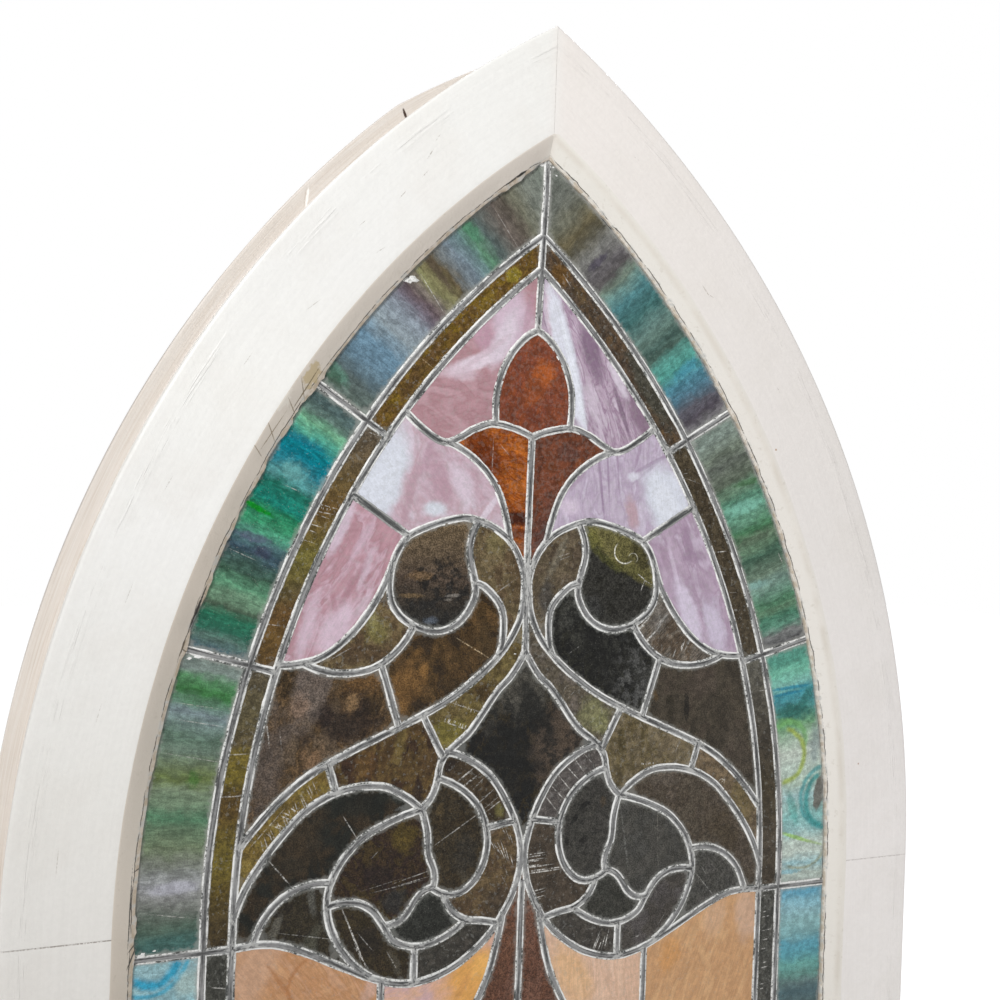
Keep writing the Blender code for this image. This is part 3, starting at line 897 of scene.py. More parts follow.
def add_camera():
    """The camera at the photograph's viewing angle."""
    data = bpy.data.cameras.new("camera")
    data.lens = LENS
    data.sensor_width = 36
    data.clip_start = 0.01
    camera = add_to_scene("camera", data, CAMERA_PLACE)
    camera.rotation_euler = [math.radians(turn) for turn in CAMERA_TURN]
    bpy.context.scene.camera = camera
    bpy.context.scene.view_settings.view_transform = "Standard"


def add_floor():
    """Pale floor that stays near white where the camera sees it."""
    bpy.ops.mesh.primitive_plane_add(size=FLOOR_SIZE)
    floor = bpy.context.object
    floor.name = "floor"
    white = bpy.data.materials.new("floor_white")
    white.use_nodes = True
    tree = white.node_tree
    shader = tree.nodes["Principled BSDF"]
    shader.inputs["Base Color"].default_value = FLOOR_WHITE
    shader.inputs["Roughness"].default_value = 0.8
    shader.inputs["Specular IOR Level"].default_value = 0.0
    shader.inputs["Emission Color"].default_value = WHITE
    path = tree.nodes.new("ShaderNodeLightPath")
    glow = tree.nodes.new("ShaderNodeMath")
    glow.operation = "MULTIPLY_ADD"
    tree.links.new(path.outputs["Is Camera Ray"], glow.inputs[0])
    glow.inputs[1].default_value = FLOOR_SEEN - FLOOR_GLOW
    glow.inputs[2].default_value = FLOOR_GLOW
    tree.links.new(glow.outputs[0], shader.inputs["Emission Strength"])
    floor.data.materials.append(white)


def add_world():
    """White surroundings, darker in reflections and plain white to the camera."""
    world = bpy.data.worlds.new("studio")
    bpy.context.scene.world = world
    world.use_nodes = True
    tree = world.node_tree
    path = tree.nodes.new("ShaderNodeLightPath")
    result = tree.nodes["Background"]
    result.inputs["Color"].default_value = WHITE
    result.inputs["Strength"].default_value = WORLD_LIGHT
    for ray, strength in (("Is Glossy Ray", WORLD_GLOSS), ("Is Camera Ray", 1.0)):
        other = tree.nodes.new("ShaderNodeBackground")
        other.inputs["Color"].default_value = WHITE
        other.inputs["Strength"].default_value = strength
        both = tree.nodes.new("ShaderNodeMixShader")
        tree.links.new(path.outputs[ray], both.inputs[0])
        tree.links.new(result.outputs[0], both.inputs[1])
        tree.links.new(other.outputs[0], both.inputs[2])
        result = both
    tree.links.new(result.outputs[0], tree.nodes["World Output"].inputs[0])


def add_lights():
    """Large soft lamps, aimed at the window."""
    for name, place, size, power in LIGHTS:
        lamp = bpy.data.lights.new(name, "AREA")
        lamp.shape = "DISK"
        lamp.size = size
        lamp.energy = power
        lamp.spread = math.radians(LIGHT_SPREAD)
        light = add_to_scene(name, lamp, place)
        light.rotation_euler = (LIGHT_AIM - light.location).to_track_quat("-Z", "Y").to_euler()


# ---------------------------------------------------------------- painting with nodes

STUDIO_SHEEN = 0.010         # light that a glossy surface adds to its own colour
LEAD_SHEEN = 0.012
DARKEST = 0.003
NOISE_ROUGHNESS = 0.58


def linear(colour, sheen=0.0):
    """A screen colour (0 to 255) as the shader's linear one."""
    parts = []
    for part in colour:
        share = part / 255
        value = share / 12.92 if share <= 0.04045 else ((share + 0.055) / 1.055) ** 2.4
        parts.append(max(DARKEST, value - sheen))
    return (*parts, 1)


class Paint:
    """A material's nodes in the making. Its places are drawing millimetres, with x turned over
    where the side is -1."""

    def __init__(self, name, roughness, side=1, sheen=0.0):
        self.material = bpy.data.materials.new(name)
        self.material.use_nodes = True
        self.tree = self.material.node_tree
        self.shader = self.tree.nodes["Principled BSDF"]
        self.put(self.shader.inputs["Roughness"], roughness)
        self.sheen = sheen
        own = self.node("ShaderNodeTexCoord").outputs["Object"]
        self.place = self.mapped(own, (side / MM, 1 / MM, 1 / MM), (0, 0, -SPRING / MM))
        self.arc = None
        self.crumb_value = None

    def node(self, kind, **settings):
        """New node with its settings."""
        made = self.tree.nodes.new(kind)
        for name, value in settings.items():
            setattr(made, name, value)
        return made

    def put(self, socket, value):
        """Link an output to the socket, or give it a plain value."""
        if isinstance(value, bpy.types.NodeSocket):
            self.tree.links.new(value, socket)
        else:
            socket.default_value = value

    def mapped(self, vector, scale, location=(0, 0, 0)):
        """The vector scaled, then moved."""
        made = self.node("ShaderNodeMapping")
        self.put(made.inputs["Vector"], vector)
        self.put(made.inputs["Location"], location)
        self.put(made.inputs["Scale"], scale)
        return made.outputs[0]

    def math(self, operation, *values):
        """Result of a Math node."""
        made = self.node("ShaderNodeMath", operation=operation)
        for socket, value in zip(made.inputs, values):
            self.put(socket, value)
        return made.outputs[0]

    def plus(self, first, *others):
        """Sum of the values."""
        for other in others:
            first = self.math("ADD", first, other)
        return first

    def times(self, first, *others):
        """Product of the values."""
        for other in others:
            first = self.math("MULTIPLY", first, other)
        return first

    def away(self, value, centre):
        """How far the value is from the centre."""
        return self.math("ABSOLUTE", self.math("SUBTRACT", value, centre))

    def swayed(self, value, noise_value, width):
        """The value moved to and fro by a noise, over about the width."""
        return self.plus(value, self.times(self.math("SUBTRACT", noise_value, 0.5), width))

    def axes(self, vector):
        """The vector's three parts, by the name of their axis."""
        made = self.node("ShaderNodeSeparateXYZ")
        self.put(made.inputs[0], vector)
        return made.outputs

    def length(self, vector):
        """The vector's length."""
        made = self.node("ShaderNodeVectorMath", operation="LENGTH")
        self.put(made.inputs[0], vector)
        return made.outputs["Value"]

    def joined(self, x, z):
        """Vector of the two values, level and upright."""
        made = self.node("ShaderNodeCombineXYZ")
        self.put(made.inputs["X"], x)
        self.put(made.inputs["Z"], z)
        return made.outputs[0]

    def turned(self, vector, x, z, angle):
        """The vector about a point, turned so that a direction this far from upright is Z."""
        made = self.node("ShaderNodeVectorRotate", rotation_type="Y_AXIS")
        self.put(made.inputs["Vector"], self.mapped(vector, (1, 1, 1), (-x, 0, -z)))
        self.put(made.inputs["Angle"], math.radians(-angle))
        return made.outputs[0]

    def cloud(self, vector, across, along, seed, detail=4.0, bend=0.0):
        """Noise from 0 to 1, stretched along Z."""
        made = self.node("ShaderNodeTexNoise")
        self.put(made.inputs["Vector"], self.mapped(
            vector, (1 / across, 1 / across, 1 / along), (seed * 3.7, seed * 1.3, -seed * 2.1)))
        self.put(made.inputs["Scale"], 1.0)
        self.put(made.inputs["Detail"], detail)
        self.put(made.inputs["Roughness"], NOISE_ROUGHNESS)
        self.put(made.inputs["Distortion"], bend)
        return made.outputs[0]

    def specks(self, size, seed, detail=4.0):
        """Noise from 0 to 1 over the drawing, at about the size given."""
        return self.cloud(self.place, size, size, seed, detail)

    def strands(self, vector, scale, seed, detail=4.0):
        """Noise from 0 to 1 over a vector scaled on each axis."""
        return self.cloud(self.mapped(vector, scale), 1, 1, seed, detail)

    def crumbs(self):
        """Fine noise that breaks up thin strokes."""
        if self.crumb_value is None:
            self.crumb_value = self.spread(self.specks(1.5, 5, 5), 0.38, 0.58)
        return self.crumb_value

    def spread(self, value, low, high, to_low=0.0, to_high=1.0):
        """The value eased from one range to another."""
        made = self.node("ShaderNodeMapRange", interpolation_type="SMOOTHSTEP")
        for socket, part in zip(made.inputs, (value, low, high, to_low, to_high)):
            self.put(socket, part)
        return made.outputs[0]

    def ramp(self, value, stops):
        """Colour by value, from (position, colour) stops."""
        made = self.node("ShaderNodeValToRGB")
        elements = made.color_ramp.elements
        while len(elements) < len(stops):
            elements.new(1.0)
        for element, (position, colour) in zip(elements, stops):
            element.position = position
            element.color = linear(colour, self.sheen)
        self.put(made.inputs[0], value)
        return made.outputs[0]

    def mix(self, share, under, over, kind="MIX"):
        """One colour over another."""
        made = self.node("ShaderNodeMix", data_type="RGBA", blend_type=kind)
        self.put(made.inputs["Factor"], share)
        self.put(made.inputs["A"], under)
        self.put(made.inputs["B"], over)
        return made.outputs["Result"]

    def tinted(self, colour, share, tint, sheen=0.0):
        """The colour with a share of a plain tint over it."""
        return self.mix(share, colour, linear(tint, sheen))

    def shaded(self, colour, value):
        """The colour made darker or lighter by the value."""
        grey = self.node("ShaderNodeCombineColor")
        for socket in grey.inputs:
            self.put(socket, value)
        return self.mix(1.0, colour, grey.outputs[0], "MULTIPLY")

    def running(self, run):
        """Place with X along the border and Z across it: round an arc, up a stile or out."""
        if run == "out":
            return self.place
        if run == "up":
            parts = self.axes(self.place)
            return self.joined(parts["Z"], parts["X"])
        if self.arc is None:
            parts = self.axes(self.place)
            reach = self.plus(parts["X"], ARC_CENTRE)
            turn = self.math("ARCTAN2", parts["Z"], reach)
            square = self.plus(self.times(reach, reach), self.times(parts["Z"], parts["Z"]))
            self.arc = self.joined(self.times(turn, BORDER_RADIUS), self.math("SQRT", square))
        return self.arc

    def mark(self):
        """What the mesh says of each point, as a vector and as its parts."""
        made = self.node("ShaderNodeAttribute", attribute_name=MARK)
        return made.outputs["Vector"], self.axes(made.outputs["Vector"])

    def relief(self, height, distance):
        """Fine relief of the surface, as deep as the distance in millimetres."""
        made = self.node("ShaderNodeBump")
        self.put(made.inputs["Strength"], 1.0)
        self.put(made.inputs["Distance"], distance * MM)
        self.put(made.inputs["Height"], height)
        self.put(self.shader.inputs["Normal"], made.outputs[0])

    def finish(self, colour):
        """The material with its colour."""
        self.put(self.shader.inputs["Base Color"], colour)
        return self.material


# ---------------------------------------------------------------- layers of colour
# Each layer is a function of the paint, the colour so far and a seed.

ZONE_JITTER = 14.0           # how far the zones' borders wander
CRUMBLED = (205, 203, 198)   # what a scratch shows


def zones(*stops, run="arc"):
    """Colours one after another along the border, as (place, colour)."""
    def layer(paint, _, seed):
        vector = paint.running(run)
        low = stops[0][0]
        span = stops[-1][0] - low
        blur = paint.cloud(vector, 8, 17, seed, detail=5, bend=0.7)
        moved = paint.swayed(paint.axes(vector)["X"], blur, ZONE_JITTER)
        share = paint.math("DIVIDE", paint.math("SUBTRACT", moved, low), span)
        return paint.ramp(share, [((place - low) / span, colour) for place, colour in stops])
    return layer


def clouds(*colours, size=12.0, stretch=1.0, angle=0.0, bend=0.4, low=0.33, high=0.67, detail=5.0):
    """Colours that run into each other, evenly spread over the noise."""
    def layer(paint, _, seed):
        vector = paint.turned(paint.place, 0, 0, angle)
        value = paint.cloud(vector, size, size * stretch, seed, detail, bend)
        last = len(colours) - 1
        return paint.ramp(paint.spread(value, low, high),
                          [(number / last, colour) for number, colour in enumerate(colours)])
    return layer


def streaks(strength, across, along, angle=None, run="arc", bend=0.5):
    """Finer light and dark lines: across the border, or at an angle."""
    def layer(paint, colour, seed):
        if angle is None:
            vector = paint.running(run)
        else:
            vector = paint.turned(paint.place, 0, 0, angle)
        fine = paint.cloud(vector, across, along, seed + 1, detail=6, bend=bend)
        return paint.shaded(colour, paint.spread(fine, 0.3, 0.7, 1 - strength, 1 + strength))
    return layer


def blot_share(paint, seed, x, z, across, along, angle, ragged, soft):
    """How far a place is inside a ragged oval, from 0 to 1."""
    vector = paint.turned(paint.place, x, z, angle)
    distance = paint.length(paint.mapped(vector, (1 / across, 0, 1 / along)))
    if ragged:
        size = max(2.0, min(across, along))
        distance = paint.swayed(distance, paint.specks(size, seed + x, 7), ragged * 2.6)
    return paint.spread(distance, 1 + soft / 2, 1 - soft / 2)


def blot(tint, x, z, across, along, angle=0.0, share=1.0, ragged=0.9, soft=0.9):
    """An oval patch of another colour with an uneven edge."""
    def layer(paint, colour, seed):
        inside = blot_share(paint, seed, x, z, across, along, angle, ragged, soft)
        if share < 1:
            inside = paint.times(inside, share)
        return paint.tinted(colour, inside, tint, paint.sheen)
    return layer


def mottle(tint, x, z, reach, size=6.0, share=0.9):
    """Small ragged spots of another colour, gathered about a place."""
    def layer(paint, colour, seed):
        near = blot_share(paint, seed, x, z, reach, reach, 0, 0.6, 0.9)
        spots = paint.spread(paint.specks(size, seed + 4, 5), 0.5, 0.6)
        return paint.tinted(colour, paint.times(near, spots, share), tint, paint.sheen)
    return layer


def scratch(x, z, to_x, to_z, width=0.4, share=0.5, tint=CRUMBLED):
    """A thin broken scratch from one place to another."""
    angle = math.degrees(math.atan2(to_x - x, to_z - z))
    half = math.dist((x, z), (to_x, to_z)) / 2

    def layer(paint, colour, seed):
        inside = blot_share(paint, seed, (x + to_x) / 2, (z + to_z) / 2, width * 0.8, half,
                            angle, 0.0, 0.9)
        inside = paint.times(inside, paint.crumbs(), share)
        return paint.tinted(colour, inside, tint, paint.sheen)
    return layer


def crack(x, z, to_x, to_z, width, share, tint):
    """A crack of uneven width from one place to another."""
    angle = math.degrees(math.atan2(to_x - x, to_z - z))
    half = math.dist((x, z), (to_x, to_z)) / 2
    return blot(tint, (x + to_x) / 2, (z + to_z) / 2, width * 0.6, half, angle, share, 0.5, 0.6)


def comb(x, z, to_x, to_z, tick_x, tick_z, count, width=0.4, share=0.6):
    """Scratches side by side along a line, of uneven length."""
    def layer(paint, colour, seed):
        for number in range(count):
            part = (number + 0.3 * math.sin(number * 9 + seed)) / max(1, count - 1)
            reach = 0.8 + 0.3 * math.sin(number * 5 + seed)
            lean = 1 + 0.35 * math.sin(number * 7 + seed)
            here_x = x + (to_x - x) * part
            here_z = z + (to_z - z) * part
            tick = scratch(here_x, here_z, here_x + tick_x * reach * lean,
                           here_z + tick_z * reach, width * 1.1, min(1, share * 1.3))
            colour = tick(paint, colour, seed)
        return colour
    return layer


def hoop(tint, x, z, radius, width, facing, reach=0.0, share=1.0):
    """A curved stroke: the part of a ring about a point that faces one way."""
    def layer(paint, colour, seed):
        vector = paint.turned(paint.place, x, z, facing)
        length = paint.length(paint.mapped(vector, (1, 0, 1)))
        bent = paint.swayed(length, paint.specks(9, seed + z, 2), width * 0.9)
        line = paint.spread(paint.away(bent, radius), width * 0.9, width * 0.1)
        ahead = paint.spread(paint.axes(vector)["Z"], reach * radius - 2, reach * radius + 4)
        return paint.tinted(colour, paint.times(line, ahead, share), tint, paint.sheen)
    return layer


# ---------------------------------------------------------------- colours of each pane


def border_pane(*stops, run="arc", strength=0.22):
    """Streaky opalescent glass whose colours follow one another along the border."""
    return [zones(*stops, run=run), streaks(strength * 0.9, 5, 15, run=run, bend=1.2),
            streaks(strength * 0.6, 1.4, 9, run=run, bend=0.8)]


def dark_pane(*colours, size=11, stretch=1.3, angle=20):
    """Dark mottled glass with a fine grain."""
    return [clouds(*colours, size=size, stretch=stretch, angle=angle, low=0.40, high=0.60,
                   detail=8), streaks(0.12, 1.3, 2.6, angle=angle)]


LILAC_WHITE = (215, 218, 228)

# Layers of each pane. Places have x outwards, and to the right in the two middle panes.
GLASS = {
    "border_top_left": border_pane(
        (372, (92, 106, 100)), (380, (104, 118, 111)), (395, (88, 100, 100)),
        (410, (104, 130, 146)), (425, (108, 137, 156)), (440, (138, 150, 156)),
        (455, (140, 150, 160)), (464, (112, 106, 116)), (471, (98, 86, 90)),
        (478, (124, 116, 108)), (486, (128, 126, 92)), (499, (98, 88, 68)), (506, (110, 116, 118)),
        (515, (118, 132, 142)), (524, (102, 126, 126)), (532, (92, 130, 106)),
        (542, (88, 100, 98)), (558, (106, 98, 92)), (568, (92, 86, 78)), (577, (112, 112, 98)),
        (592, (120, 125, 117)), (615, (110, 118, 110))) + [
        blot((86, 136, 108), 58, 483, 4, 10, 48, 0.7, 0.7),
        blot((86, 76, 66), 84, 452, 3, 17, 42, 0.8, 0.6),
        blot((150, 150, 108), 93, 445, 2, 13, 40, 0.7, 0.6),
        blot((96, 150, 128), 158, 375, 5, 14, 50, 0.5, 0.7),
        blot((62, 84, 66), 160, 372, 6, 12, 60, 0.6, 0.8), scratch(78, 423, 96, 448, 0.5, 0.6),
        scratch(21, 475, 40, 500, 0.4, 0.4)],
    "border_top_right": border_pane(
        (372, (121, 124, 122)), (381, (125, 124, 125)), (390, (87, 82, 90)), (398, (95, 94, 102)),
        (410, (87, 120, 136)), (420, (83, 134, 150)), (432, (87, 152, 142)), (441, (93, 152, 142)),
        (449, (79, 100, 92)), (456, (77, 100, 94)), (463, (95, 118, 110)), (471, (103, 130, 124)),
        (484, (71, 108, 106)), (500, (81, 124, 128)), (508, (107, 140, 136)),
        (516, (115, 130, 118)), (523, (93, 90, 90)), (531, (99, 96, 98)), (545, (124, 124, 120)),
        (556, (91, 88, 76)), (565, (101, 94, 74)), (576, (107, 107, 94)), (590, (108, 111, 104)),
        (615, (101, 106, 100))) + [
        blot((77, 72, 86), 44, 472, 3, 10, 45, 0.7, 0.6),
        blot((73, 140, 162), 125, 398, 4, 13, 50, 0.6, 0.7),
        blot((153, 157, 152), 78, 480, 1.5, 7, 130, 0.6, 0.4, 0.8)],
    "border_upper_left": border_pane(
        (178, (96, 104, 102)), (186, (78, 100, 108)), (193, (90, 116, 108)), (200, (52, 104, 86)),
        (208, (50, 112, 88)), (215, (80, 98, 82)), (224, (112, 146, 120)), (231, (96, 146, 116)),
        (240, (66, 92, 78)), (247, (72, 96, 90)), (256, (66, 84, 96)), (264, (84, 116, 118)),
        (270, (82, 150, 122)), (277, (64, 144, 106)), (286, (46, 120, 88)), (293, (40, 126, 112)),
        (303, (44, 112, 96)), (312, (88, 146, 146)), (320, (58, 128, 140)), (328, (28, 116, 130)),
        (337, (24, 122, 132)), (345, (86, 158, 138)), (352, (112, 166, 134)),
        (360, (96, 118, 110)), (368, (82, 100, 100)), (380, (92, 110, 106)), strength=0.28) + [
        blot((24, 138, 44), 205, 278, 1.8, 11, 62, 0.95, 0.6),
        blot((24, 112, 134), 178, 326, 3, 16, 66, 0.6, 0.7),
        blot((110, 168, 166), 182, 304, 6, 9, 60, 0.7),
        blot((30, 84, 76), 207, 302, 4, 9, 66, 0.7),
        blot((92, 90, 118), 206, 258, 3, 12, 75, 0.6, 0.6),
        blot((70, 72, 92), 200, 248, 4, 6, 75, 0.6, 0.7), scratch(177, 290, 187, 294, 0.4, 0.6),
        scratch(206, 243, 222, 250)],
    "border_upper_right": border_pane(
        (178, (90, 88, 91)), (186, (96, 96, 97)), (193, (122, 124, 123)), (200, (98, 142, 123)),
        (207, (76, 122, 101)), (214, (98, 130, 105)), (221, (86, 128, 101)),
        (230, (110, 142, 127)), (238, (122, 148, 137)), (246, (114, 134, 117)),
        (254, (88, 110, 95)), (262, (74, 102, 87)), (270, (104, 132, 109)), (277, (98, 116, 97)),
        (285, (78, 120, 89)), (293, (102, 144, 121)), (302, (108, 156, 135)),
        (312, (94, 138, 117)), (320, (104, 132, 111)), (328, (92, 102, 89)),
        (336, (106, 114, 103)), (344, (98, 104, 97)), (352, (116, 126, 113)),
        (366, (128, 141, 133)), (380, (122, 136, 127)), strength=0.28) + [
        blot((126, 182, 163), 184, 291, 5, 16, 72, 0.8, 0.8),
        blot((70, 108, 71), 190, 312, 2.5, 16, 74, 0.6, 0.6),
        blot((134, 172, 165), 198, 228, 3, 12, 78, 0.7, 0.7),
        scratch(219, 254, 223, 247, 0.6, 0.6)],
    "border_middle_left": border_pane(
        (-20, (74, 108, 104)), (-8, (72, 104, 98)), (0, (88, 108, 96)), (6, (92, 104, 94)),
        (14, (122, 126, 120)), (22, (140, 141, 140)), (29, (154, 156, 158)), (36, (136, 140, 136)),
        (43, (120, 126, 114)), (52, (114, 128, 102)), (64, (100, 122, 98)), (72, (88, 128, 100)),
        (80, (112, 134, 110)), (90, (120, 136, 112)), (98, (102, 116, 72)), (106, (108, 122, 92)),
        (116, (108, 126, 112)), (126, (96, 119, 104)), (135, (112, 132, 126)),
        (143, (122, 138, 142)), (150, (96, 130, 108)), (157, (62, 112, 66)), (164, (88, 136, 96)),
        (171, (128, 142, 136)), (183, (122, 136, 128)), strength=0.24) + [
        blot((180, 180, 190), 250, 26, 15, 4, 0, 0.8, 0.5),
        blot((62, 110, 48), 240, 97, 4, 5, 0, 0.6, 0.8), scratch(222, 131, 252, 137),
        scratch(222, 107, 258, 115), scratch(225, 143, 252, 148, 0.4, 0.4),
        scratch(238, 5, 268, 11)],
    "border_middle_right": border_pane(
        (-20, (176, 192, 185)), (-10, (184, 196, 187)), (-2, (152, 188, 193)),
        (8, (196, 208, 199)), (16, (188, 202, 193)), (26, (156, 194, 193)), (36, (140, 190, 187)),
        (46, (158, 192, 187)), (56, (166, 196, 197)), (66, (174, 192, 177)), (78, (188, 204, 193)),
        (92, (192, 202, 191)), (104, (166, 188, 169)), (114, (118, 164, 125)),
        (124, (82, 134, 121)), (134, (80, 144, 149)), (142, (76, 148, 159)),
        (150, (130, 186, 175)), (160, (118, 184, 161)), (170, (88, 148, 131)),
        (183, (98, 154, 139)), strength=0.12) + [
        blot((50, 134, 159), 236, 144, 1.4, 18, 84, 0.8, 0.5, 0.8),
        blot((46, 126, 153), 232, 139, 1.2, 16, 82, 0.7, 0.5, 0.8),
        blot((50, 102, 95), 240, 124, 13, 7, 0, 0.8, 0.8),
        blot((58, 116, 109), 252, 136, 4, 10, 30, 0.7, 0.7),
        hoop((118, 172, 106), 236, 100, 16, 4.5, 30, 0.1, 0.7),
        blot((116, 172, 108), 232, 116, 10, 3, 0, 0.6, 0.6),
        hoop((160, 178, 92), 230, 88, 22, 4.2, 95, 0.05, 0.9),
        blot((132, 146, 147), 264, 100, 6, 18, 10, 0.7, 0.6),
        hoop((76, 152, 155), 276, 52, 26, 4, 262, -0.05, 0.8),
        hoop((58, 142, 141), 277, 50, 22, 5, 250, 0.0, 0.85),
        blot((108, 102, 95), 268, 56, 5, 15, 8, 0.9, 0.4, 0.4),
        blot((66, 156, 147), 242, 44, 4, 14, 160, 0.5, 0.6),
        blot((156, 196, 117), 246, 20, 1.6, 15, 108, 0.9, 0.4, 0.8),
        blot((164, 190, 129), 262, 15, 1.2, 12, 106, 0.6, 0.4, 0.8),
        hoop((146, 144, 109), 252, 22, 28, 2.5, 140, 0.35, 0.6),
        blot((118, 178, 195), 240, -8, 12, 2, 0, 0.6, 0.6), streaks(0.1, 3.0, 12, angle=70)],
    "border_lower_left": border_pane(
        (-302, (78, 105, 100)), (-280, (106, 125, 112)), (-255, (66, 107, 104)),
        (-232, (90, 135, 126)), (-210, (114, 137, 136)), (-188, (70, 109, 90)),
        (-165, (98, 131, 108)), (-142, (76, 119, 124)), (-120, (114, 147, 152)),
        (-98, (88, 135, 122)), (-78, (112, 157, 158)), (-60, (136, 177, 186)),
        (-44, (146, 183, 190)), (-28, (152, 187, 194)), (-18, (144, 183, 190)), run="up",
        strength=0.16) + [
        hoop((52, 155, 188), 262, -22, 15, 6, 225, -0.2, 0.95),
        hoop((68, 163, 192), 266, -18, 26, 3, 215, 0.2, 0.8),
        blot((170, 187, 180), 236, -38, 10, 8, 0, 0.6, 0.6)],
    "border_lower_right": border_pane(
        (-302, (80, 104, 98)), (-278, (104, 126, 104)), (-252, (84, 122, 116)),
        (-228, (112, 142, 140)), (-206, (88, 118, 98)), (-182, (74, 112, 112)),
        (-160, (108, 142, 126)), (-138, (122, 150, 128)), (-120, (92, 112, 112)),
        (-108, (82, 106, 112)), (-101, (98, 120, 120)), (-94, (104, 146, 138)),
        (-86, (106, 162, 156)), (-80, (98, 156, 162)), (-74, (96, 160, 174)),
        (-68, (96, 156, 172)), (-60, (130, 174, 178)), (-50, (142, 182, 184)),
        (-40, (146, 186, 194)), (-32, (132, 180, 194)), (-26, (102, 162, 186)),
        (-18, (112, 154, 166)), run="up", strength=0.12),
    "border_foot_left": border_pane(
        (0, (100, 116, 104)), (30, (82, 110, 100)), (58, (118, 134, 122)), (84, (92, 124, 128)),
        (112, (78, 104, 88)), (140, (112, 138, 116)), (170, (84, 118, 112)),
        (200, (106, 122, 116)), (240, (88, 112, 100)), run="out", strength=0.2),
    "border_foot_right": border_pane(
        (0, (96, 112, 102)), (34, (110, 128, 108)), (62, (80, 112, 108)), (92, (114, 136, 130)),
        (120, (88, 112, 92)), (150, (76, 108, 104)), (182, (110, 132, 112)), (212, (92, 120, 118)),
        (240, (84, 104, 94)), run="out", strength=0.2),
    "crown_left": [
        clouds((181, 143, 150), (170, 132, 138), (188, 153, 160), size=15, stretch=1.7, angle=70,
               bend=0.7, detail=3),
        blot((204, 182, 197), 26, 424, 16, 40, 22, 1.0, 0.36),
        blot((188, 152, 167), 47, 410, 8, 20, 30, 1.0, 0.36),
        blot((182, 146, 161), 11, 428, 3, 14, 170, 0.6, 0.36),
        blot((221, 206, 217), 50, 389, 5, 26, 112, 1.0, 0.3),
        blot((216, 202, 214), 30, 408, 7, 22, 158, 1.0, 0.36),
        blot((204, 184, 195), 44, 396, 2.4, 22, 128, 0.7, 0.3),
        blot((210, 190, 201), 62, 380, 12, 5, 0, 0.7, 0.36), streaks(0.05, 1.4, 14, angle=105)],
    "crown_right": [
        clouds((201, 186, 201), (155, 130, 151), (193, 174, 191), (171, 148, 167), size=6,
               stretch=5, angle=156, bend=1.0),
        blot((138, 116, 136), 42, 404, 7, 22, 160, 1.0, 0.36),
        blot((131, 108, 129), 48, 420, 2.5, 16, 150, 0.7, 0.3),
        blot((137, 114, 132), 84, 360, 7, 20, 150, 0.9, 0.42),
        blot((125, 104, 123), 70, 360, 1.8, 22, 158, 0.8, 0.3),
        blot((213, 202, 215), 66, 384, 3.5, 16, 150, 0.9, 0.36),
        blot((211, 198, 212), 44, 366, 5, 16, 158, 0.7, 0.42),
        blot((209, 178, 189), 6, 432, 3, 18, 172, 0.8, 0.3),
        blot((219, 220, 231), 21, 398, 8, 58, 163, 1.0, 0.21, 0.5),
        blot((231, 234, 243), 28, 384, 2.5, 42, 164, 0.8, 0.18, 0.8),
        streaks(0.07, 1.0, 24, angle=158)],
    "brow_left": [
        clouds((210, 194, 206), (193, 166, 176), (202, 180, 192), (189, 160, 171), size=21,
               stretch=1.5, angle=30, bend=0.7, detail=3),
        blot((183, 150, 163), 76, 303, 8, 18, 25, 0.8, 0.36),
        blot((185, 154, 168), 86, 318, 3, 14, 165, 0.6, 0.36),
        blot((217, 202, 215), 58, 300, 8, 15, 30, 0.8, 0.42),
        blot((185, 154, 165), 98, 290, 3.5, 24, 168, 0.8, 0.36),
        blot(LILAC_WHITE, 120, 297, 15, 42, 160, 1.0, 0.25, 0.5),
        blot((222, 226, 236), 122, 295, 11, 26, 155, 0.6, 0.3),
        blot(LILAC_WHITE, 79, 281, 8, 5, 0, 1.0, 0.3),
        blot((219, 206, 218), 38, 281, 2.4, 16, 145, 0.9, 0.3), streaks(0.05, 1.6, 10, angle=40)],
    "brow_right": [
        clouds((198, 185, 202), (182, 165, 186), (206, 195, 212), size=10, stretch=2.4, angle=170,
               bend=1.2),
        blot((154, 133, 157), 54, 305, 1.1, 27, 172, 0.8, 0.3),
        blot((156, 135, 159), 60, 312, 0.9, 20, 175, 0.7, 0.3),
        blot((160, 139, 162), 68, 318, 0.9, 18, 174, 0.6, 0.3),
        blot((170, 147, 168), 34, 306, 2.0, 10, 40, 0.6, 0.36),
        blot((218, 203, 220), 28, 286, 8, 6, 0, 0.8, 0.42),
        blot((154, 131, 156), 98, 322, 1.7, 17, 62, 0.8, 0.3),
        blot((158, 135, 160), 92, 314, 1.2, 14, 52, 0.7, 0.3),
        blot((164, 143, 166), 86, 330, 1.4, 12, 12, 0.7, 0.3),
        blot((222, 221, 232), 82, 311, 5, 3.5, 0, 0.8, 0.36),
        blot((190, 159, 166), 82, 283, 5, 13, 165, 0.8, 0.42),
        blot((218, 221, 232), 113, 292, 18, 32, 152, 1.0, 0.24, 0.6),
        blot((229, 232, 241), 112, 290, 9, 22, 152, 0.7, 0.3), streaks(0.06, 1.0, 16, angle=172)],
    "petal_left": [
        clouds((191, 151, 161), (177, 138, 147), (203, 172, 185), (187, 148, 158), size=13,
               stretch=2.6, angle=150, bend=0.7, detail=3),
        blot((213, 194, 208), 146, 266, 4, 20, 156, 0.9, 0.36),
        blot((207, 180, 195), 131, 258, 3, 16, 152, 0.7, 0.36),
        blot((211, 190, 204), 128, 238, 3, 14, 160, 0.7, 0.36),
        blot((171, 130, 140), 140, 222, 3, 20, 150, 0.8, 0.36),
        blot((173, 132, 142), 149, 210, 2, 12, 12, 0.7, 0.3),
